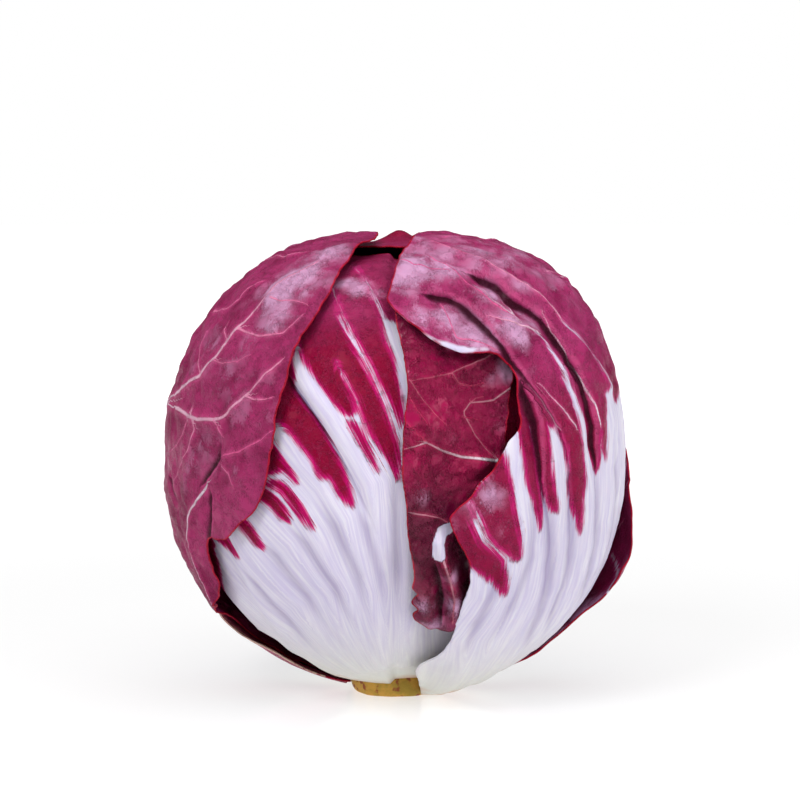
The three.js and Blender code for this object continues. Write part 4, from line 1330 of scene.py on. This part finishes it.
class Look:
    """A material and short ways to add nodes to it."""

    def __init__(self, name):
        self.material = bpy.data.materials.new(name)
        self.material.use_nodes = True
        self.tree = self.material.node_tree
        self.shader = self.tree.nodes["Principled BSDF"]

    def node(self, kind, inputs=None, **settings):
        made = self.tree.nodes.new(kind)
        for key, value in settings.items():
            setattr(made, key, value)
        for key, value in (inputs or {}).items():
            self.put(made.inputs[key], value)
        return made

    def put(self, socket, value):
        if isinstance(value, bpy.types.NodeSocket):
            self.tree.links.new(value, socket)
        else:
            socket.default_value = value

    def value(self, label):
        return self.node("ShaderNodeAttribute", attribute_name=label).outputs["Fac"]

    def vector(self, label):
        return self.node("ShaderNodeAttribute", attribute_name=label).outputs["Vector"]

    def give(self, name, value):
        self.put(self.shader.inputs[name], value)

    def places(self):
        return self.node("ShaderNodeTexCoord").outputs["Object"]

    def maths(self, operation, a, b=0.0):
        return self.node("ShaderNodeMath", {0: a, 1: b}, operation=operation).outputs[0]

    def times(self, a, b):
        return self.maths("MULTIPLY", a, b)

    def plus(self, a, b):
        return self.maths("ADD", a, b)

    def minus(self, a, b):
        return self.maths("SUBTRACT", a, b)

    def larger(self, a, b):
        return self.maths("MAXIMUM", a, b)

    def absolute(self, a):
        return self.maths("ABSOLUTE", a)

    def scaled(self, vector, by):
        return self.node("ShaderNodeVectorMath", {0: vector, 1: by}, operation="MULTIPLY").outputs[0]

    def noise(self, vector, scale, detail=2.0, roughness=0.5):
        inputs = {"Vector": vector, "Scale": scale, "Detail": detail, "Roughness": roughness}
        return self.node("ShaderNodeTexNoise", inputs).outputs["Fac"]

    def ramp(self, value, low, high, out_low=0.0, out_high=1.0):
        inputs = {"Value": value, "From Min": low, "From Max": high, "To Min": out_low, "To Max": out_high}
        made = self.node("ShaderNodeMapRange", inputs, interpolation_type="SMOOTHSTEP")
        return made.outputs["Result"]

    def mix(self, share, a, b):
        made = self.node("ShaderNodeMix", data_type="RGBA")
        self.put(made.inputs["Factor"], share)
        colours = [s for s in made.inputs if s.type == "RGBA"]
        self.put(colours[0], a)
        self.put(colours[1], b)
        return next(s for s in made.outputs if s.type == "RGBA")

    def bump(self, height, distance, strength=1.0, below=None):
        inputs = {"Height": height, "Distance": distance, "Strength": strength}
        if below:
            inputs["Normal"] = below
        return self.node("ShaderNodeBump", inputs).outputs["Normal"]


def colour(red, green, blue):
    """A colour given as on a screen, 0 to 255, in the linear values that a shader takes."""

    def linear(v):
        v /= 255
        return v / 12.92 if v <= 0.04045 else ((v + 0.055) / 1.055) ** 2.4

    return (linear(red), linear(green), linear(blue), 1.0)


WHITE_RIB = colour(214, 210, 220)
COOL_WHITE = colour(192, 184, 210)
CREAM = colour(216, 217, 200)
MAGENTA = colour(190, 8, 104)
CRIMSON = colour(126, 0, 44)
WINE = colour(84, 0, 28)
DARK_CRIMSON = colour(150, 2, 64)
DARK_WINE = colour(84, 0, 36)
DUSTY = colour(160, 50, 104)
LILAC = colour(196, 150, 186)
PLUM = colour(118, 24, 72)
PINK_VEIN = colour(206, 84, 136)
ROSE_VEIN = colour(180, 40, 84)
RED_EDGE = colour(160, 14, 44)
DEEP_SHADE = colour(48, 0, 20)
PALE_SHADE = colour(128, 112, 150)
TAN = colour(206, 150, 110)
BLOOM_AND_SHEEN_COVER = 0.8

# How fine each pattern is: streaks in fibre space, the others in lumps or cells per metre
STREAKS = (11.0, 11.0, 3.5)
FINE_STREAKS = (36.0, 36.0, 9.0)
MOTTLE = 90.0
BLOTCHES = 32.0
CRINKLES = 95.0
CELLS = 240.0

# The bend in the net: its lumps across the leaf's own box, and its reach in metres
WANDER = 160.0
WANDER_REACH = 0.004


class LeafLook(Look):
    """Waxy leaf: white bands with feathered pigment between them, veins, a dusty bloom with painted sheen
    and highlights, and painted shade in its valleys and furrows.
    """

    def __init__(self, name):
        super().__init__(name)
        places = self.places()
        fibre = self.vector("fibre")
        self.streaks = self.noise(self.scaled(fibre, STREAKS), 1.0, 3.0, 0.6)
        self.fine_streaks = self.noise(self.scaled(fibre, FINE_STREAKS), 1.0, 2.0, 0.6)
        self.mottle = self.noise(places, MOTTLE, 4.0, 0.6)
        self.patchy = self.noise(places, BLOTCHES, 2.0, 0.5)

        # A fine net of cells and sharp little creases, both bent out of line
        wander = self.node("ShaderNodeTexNoise", {"Scale": WANDER}).outputs["Color"]
        bend = self.scaled(wander, (WANDER_REACH,) * 3)
        bent = self.node("ShaderNodeVectorMath", {0: places, 1: bend}, operation="ADD").outputs[0]
        cell_inputs = {"Vector": bent, "Scale": CELLS}
        cells = self.node("ShaderNodeTexVoronoi", cell_inputs, feature="DISTANCE_TO_EDGE")
        self.net = self.ramp(cells.outputs["Distance"], 0.0, 0.09, 1.0, 0.0)
        folded = self.minus(self.noise(bent, CRINKLES, 3.0, 0.55), 0.5)
        self.crinkle = self.ramp(self.absolute(folded), 0.0, 0.09)

        # Veins keep even widths because they are drawn from a distance with a sign
        off_vein = self.absolute(self.value("vein_across"))
        close = self.ramp(self.value("vein_away"), 3.0, 4.5, 1.0, 0.0)
        self.vein = self.times(self.ramp(off_vein, 0.35, 1.0, 1.0, 0.0), close)
        self.beside_vein = self.times(self.ramp(off_vein, 0.6, 3.4, 1.0, 0.0), close)

        # How much pigment: the edge of a patch is feathered along the fibres
        feather = self.times(self.minus(self.streaks, 0.5), 3.6)
        fine_feather = self.times(self.minus(self.fine_streaks, 0.5), 2.2)
        depth = self.plus(self.value("pigment"), self.plus(feather, fine_feather))
        self.pigment = self.ramp(depth, -1.0, 0.2)
        self.deep = self.ramp(depth, -0.2, 1.4)

    def white_parts(self):
        """White ribs, cream near the stem, with painted shade in the furrows and tan stains."""
        low = self.value("low")
        white = self.mix(self.ramp(self.streaks, 0.32, 0.75), COOL_WHITE, WHITE_RIB)
        white = self.mix(self.times(low, 0.8), white, CREAM)
        # Painted shade in the furrows
        white = self.mix(self.times(self.value("furrow"), 0.45), white, PALE_SHADE)
        stained = self.times(self.ramp(low, 0.9, 1.0), self.ramp(self.mottle, 0.4, 0.62))
        return self.mix(self.larger(self.value("stain"), self.times(stained, 0.6)), white, TAN)

    def red_parts(self, vein_colour, darkness):
        """Pigment, bright at a patch's edge and dark inside, dusty where the tone says so, which at the
        front leaf's top is painted sheen, with veins and bloom.
        """
        deepest = WINE if darkness else CRIMSON
        red = self.mix(self.deep, MAGENTA, self.mix(self.ramp(self.mottle, 0.4, 0.7), CRIMSON, deepest))
        dark = self.mix(self.ramp(self.patchy, 0.38, 0.62), DARK_CRIMSON, DARK_WINE)
        red = self.mix(darkness, red, dark)
        dusty = self.mix(self.ramp(self.mottle, 0.38, 0.68), DUSTY, PLUM)
        red = self.mix(self.value("tone"), red, dusty)
        red = self.mix(self.times(self.beside_vein, 0.3), red, vein_colour)
        # Lilac bloom, with painted sheen and highlights
        red = self.mix(self.bloom_and_sheen(), red, LILAC)
        red = self.mix(self.times(self.net, 0.1), red, vein_colour)
        pale_vein = self.mix(self.value("pale"), vein_colour, WHITE_RIB)
        return self.mix(self.times(self.vein, 0.9), red, pale_vein)

    def bloom_and_sheen(self):
        """How much bloom and painted sheen covers the pigment: uneven, with painted highlights on the raised
        crumples and painted shade in the creases.
        """
        raised = self.minus(self.value("crumple"), 0.42)
        broken = self.plus(self.times(raised, 0.45), self.minus(self.mottle, 0.5))
        bloom_and_sheen = self.times(self.value("bloom_and_sheen"), self.plus(self.times(broken, 1.5), 1.0))
        bloom_and_sheen = self.plus(bloom_and_sheen, self.times(broken, 0.25))
        bloom_and_sheen = self.minus(bloom_and_sheen, self.times(self.minus(1.0, self.crinkle), 0.3))
        return self.times(self.ramp(bloom_and_sheen, 0.05, 1.1), BLOOM_AND_SHEEN_COVER)

    def with_valley_shade(self, surface):
        """Painted shade at the bottom of the valleys between pleats, and a painted highlight on their lip
        where there is pigment.
        """
        across = self.value("valley_across")
        close = self.ramp(self.value("valley_away"), 2.5, 4.0, 1.0, 0.0)
        close = self.times(close, self.value("valley_deep"))
        # Painted highlight: a pink line along the lip of each fold
        lip = self.times(self.ramp(across, -1.9, -1.1), self.ramp(across, -0.95, -0.75, 1.0, 0.0))
        lip = self.times(self.times(lip, close), self.pigment)
        surface = self.mix(self.times(lip, 0.4), surface, PINK_VEIN)
        # Painted shade: dark crimson at the bottom of each valley, pale grey where the leaf is white
        shade = self.times(self.ramp(across, -0.8, -0.5), self.ramp(across, -0.2, 1.6, 1.0, 0.0))
        crease = self.mix(self.pigment, PALE_SHADE, DEEP_SHADE)
        return self.mix(self.times(self.times(shade, close), 0.95), surface, crease)


def leaf_look(name, roughness, gleam, crinkling, vein_colour=PINK_VEIN, darkness=0.0):
    look = LeafLook(name)
    surface = look.mix(look.pigment, look.white_parts(), look.red_parts(vein_colour, darkness))
    surface = look.with_valley_shade(surface)
    margin = look.ramp(look.value("inside"), 0.15, 0.5, 1.0, 0.0)
    surface = look.mix(look.times(margin, look.pigment), surface, RED_EDGE)
    look.give("Base Color", surface)
    look.give("Roughness", look.ramp(look.mottle, 0.3, 0.7, roughness - 0.08, roughness + 0.1))
    look.give("Specular IOR Level", gleam)
    look.give("Subsurface Weight", 0.1)
    look.give("Subsurface Radius", (1.0, 0.5, 0.5))
    look.give("Subsurface Scale", 1.5 * MM)

    skin = look.bump(look.fine_streaks, 0.25 * MM, 0.12)
    skin = look.bump(look.mottle, 0.5 * MM, 0.6, skin)
    skin = look.bump(look.times(look.net, look.pigment), 0.25 * MM, 0.7, skin)
    skin = look.bump(look.times(look.crinkle, look.pigment), 0.6 * MM, crinkling, skin)
    look.give("Normal", look.bump(look.times(look.vein, look.pigment), 0.25 * MM, 0.8, skin))
    return look.material


def heart_look():
    look = Look("Heart leaves")
    place_on = look.places()
    mottle = look.noise(place_on, 70.0, 3.0)
    look.give("Base Color", look.mix(look.ramp(mottle, 0.3, 0.7), WINE, CRIMSON))
    look.give("Roughness", 0.5)
    look.give("Normal", look.bump(mottle, 0.6 * MM, 0.6))
    return look.material


def stem_look():
    look = Look("Cut stem")
    place_on = look.places()
    mottle = look.noise(place_on, 260.0, 4.0, 0.6)
    spots = look.noise(place_on, 420.0, 2.0)
    flesh = look.mix(look.ramp(mottle, 0.35, 0.65), colour(214, 162, 62), colour(172, 142, 44))
    rusty = look.mix(look.ramp(spots, 0.56, 0.66), flesh, colour(150, 70, 28))
    look.give("Base Color", rusty)
    look.give("Roughness", 0.7)
    look.give("Normal", look.bump(mottle, 0.8 * MM, 0.8))
    return look.material


# The heart and the stem


def faces_of_rings(rows, segments):
    """The faces of a body of rings, from the bottom up, whose last two points are its bottom and top."""
    index = np.arange(rows * segments).reshape(rows, segments)
    turned = np.roll(index, -1, axis=1)
    a, b, c, e = index[:-1], turned[:-1], index[1:], turned[1:]
    bottom = np.full(segments, rows * segments)
    return np.vstack(
        [
            np.stack([a, b, e], axis=-1).reshape(-1, 3),
            np.stack([a, e, c], axis=-1).reshape(-1, 3),
            np.stack([bottom, turned[0], index[0]], axis=1),
            np.stack([bottom + 1, index[-1], turned[-1]], axis=1),
        ]
    )


HEART_RINGS = 108
HEART_SEGMENTS = 140
HEART_STEPS = 5
HEART_STEP_HEIGHT = 1.1


def make_heart():
    """A core with a few turning steps, the edges of the small leaves that are pressed together in it."""
    rings = np.linspace(-math.pi / 2, math.pi / 2, HEART_RINGS + 2)[1:-1]
    turns = np.linspace(0, 2 * math.pi, HEART_SEGMENTS, endpoint=False)
    up, around = np.meshgrid(rings, turns, indexing="ij")
    d = np.stack([np.cos(up) * np.sin(around), -np.cos(up) * np.cos(around), np.sin(up)], axis=-1)
    d = np.vstack([d.reshape(-1, 3), [[0, 0, -1], [0, 0, 1]]])
    lon, lat = angles_of(d)
    share = (HEART_STEPS * (lon + 0.9 * lat) / 360) % 1
    step = HEART_STEP_HEIGHT * share * smooth(lat, -60, -20) * (1 - smooth(lat, 78, 90))
    radius = head_radius(d) - HEART_INSET - HEART_STEP_HEIGHT + step
    faces = faces_of_rings(HEART_RINGS, HEART_SEGMENTS)
    piece = new_mesh("heart", HEAD_CENTRE + d * radius[:, None], faces, {}, heart_look())
    place(piece, "heart", "heart_leaf")


STEM_SEGMENTS = 96


def make_stem():
    """The stub, slightly uneven round its side, with its cut face on the table."""
    profile = [
        (6, 0), (STEM_RADIUS - 0.6, 0), (STEM_RADIUS, 0.5), (STEM_RADIUS + 0.5, 2), (STEM_RADIUS + 0.8, 4.5),
        (STEM_RADIUS, STEM_HEIGHT), (5, STEM_HEIGHT),
    ]
    turn = np.linspace(0, 2 * math.pi, STEM_SEGMENTS, endpoint=False)
    rough = 1 + 0.02 * np.sin(5 * turn) + 0.012 * np.sin(11 * turn + 1)
    rows = []
    for radius, height in profile:
        level = np.full(STEM_SEGMENTS, float(height))
        rows.append(np.stack([radius * rough * np.cos(turn), radius * rough * np.sin(turn), level], axis=1))
    positions = np.vstack(rows + [[[0, 0, 0]], [[0, 0, STEM_HEIGHT]]])
    faces = faces_of_rings(len(profile), STEM_SEGMENTS)
    place(new_mesh("stem", positions, faces, {}, stem_look()), "stem", "stem_flesh")


# The set: table, light and camera


# The table glows evenly far off and less near the head, which paints a soft shadow round it: distances in
# metres, then strengths
TABLE_REACH = (0.15, 0.7)
TABLE_GLOW_WITH_SHADOW = (0.62, 1.0)


def make_table():
    bpy.ops.mesh.primitive_plane_add(size=6, location=(0, 0, 0))
    floor = bpy.context.object
    floor.name = "table"
    look = Look("White table")
    look.give("Base Color", (0.42, 0.42, 0.42, 1))
    look.give("Roughness", 0.22)
    look.give("Specular IOR Level", 0.35)
    # Painted shadow: the table's glow is dimmer near the head
    look.give("Emission Color", (1, 1, 1, 1))
    away = look.node("ShaderNodeVectorMath", operation="LENGTH")
    look.put(away.inputs[0], look.places())
    glow_with_shadow = look.ramp(away.outputs["Value"], *TABLE_REACH, *TABLE_GLOW_WITH_SHADOW)
    look.give("Emission Strength", glow_with_shadow)
    floor.data.materials.append(look.material)


def area_light(name, position, size, power):
    lamp = bpy.data.lights.new(name, "AREA")
    lamp.size = size
    lamp.energy = power
    light = bpy.data.objects.new(name, lamp)
    light.location = position
    light.rotation_euler = (Vector((0, 0, 0.06)) - Vector(position)).to_track_quat("-Z", "Y").to_euler()
    bpy.context.scene.collection.objects.link(light)


ROOM_LIGHT = 0.39
ROOM_GLEAM = 0.1


def make_light():
    world = bpy.data.worlds.new("Studio")
    world.use_nodes = True
    nodes, links = world.node_tree.nodes, world.node_tree.links
    background = nodes["Background"]
    background.inputs["Color"].default_value = (1, 1, 1, 1)
    ray = nodes.new("ShaderNodeLightPath")
    room = nodes.new("ShaderNodeMapRange")
    room.inputs["To Min"].default_value = ROOM_LIGHT
    room.inputs["To Max"].default_value = ROOM_GLEAM
    links.new(ray.outputs["Is Glossy Ray"], room.inputs["Value"])
    strength = nodes.new("ShaderNodeMapRange")
    strength.inputs["To Max"].default_value = 1.0
    links.new(ray.outputs["Is Camera Ray"], strength.inputs["Value"])
    links.new(room.outputs["Result"], strength.inputs["To Min"])
    links.new(strength.outputs["Result"], background.inputs["Strength"])
    bpy.context.scene.world = world
    area_light("Overhead", (0.1, -0.2, 1.1), 1.3, 11)
    area_light("Key", (-0.5, -0.75, 0.85), 0.36, 5.8)
    area_light("Fill", (0.9, -0.7, 0.35), 0.7, 4.2)


def make_camera():
    data = bpy.data.cameras.new("Camera")
    data.sensor_width = SENSOR
    data.lens = SENSOR * VIEW_DISTANCE / (PICTURE * POINT)
    data.shift_x = (PICTURE / 2 - VIEW_CENTRE[0]) / PICTURE
    data.shift_y = (VIEW_CENTRE[1] - PICTURE / 2) / PICTURE
    camera = bpy.data.objects.new("Camera", data)
    back = Vector((0, -math.cos(VIEW_ELEVATION), math.sin(VIEW_ELEVATION)))
    camera.location = Vector(HEAD_CENTRE * MM) + back * VIEW_DISTANCE * MM
    camera.rotation_euler = (-back).to_track_quat("-Z", "Y").to_euler()
    bpy.context.scene.collection.objects.link(camera)
    bpy.context.scene.camera = camera


make_stem()
make_heart()
looks = {
    "ribbed_leaf": leaf_look("Ribbed leaf", 0.38, 0.08, 0.5),
    "dusty_leaf": leaf_look("Dusty leaf", 0.42, 0.12, 0.5),
    "dark_leaf": leaf_look("Dark glossy leaf", 0.26, 0.24, 0.9, ROSE_VEIN, 0.9),
}
for number, (leaf_name, leaf) in enumerate(LEAVES.items()):
    make_leaf(leaf_name, leaf, number * 31 + 7, looks[leaf["slot"]])
make_table()
make_light()
make_camera()
bpy.context.scene.view_settings.view_transform = "Standard"
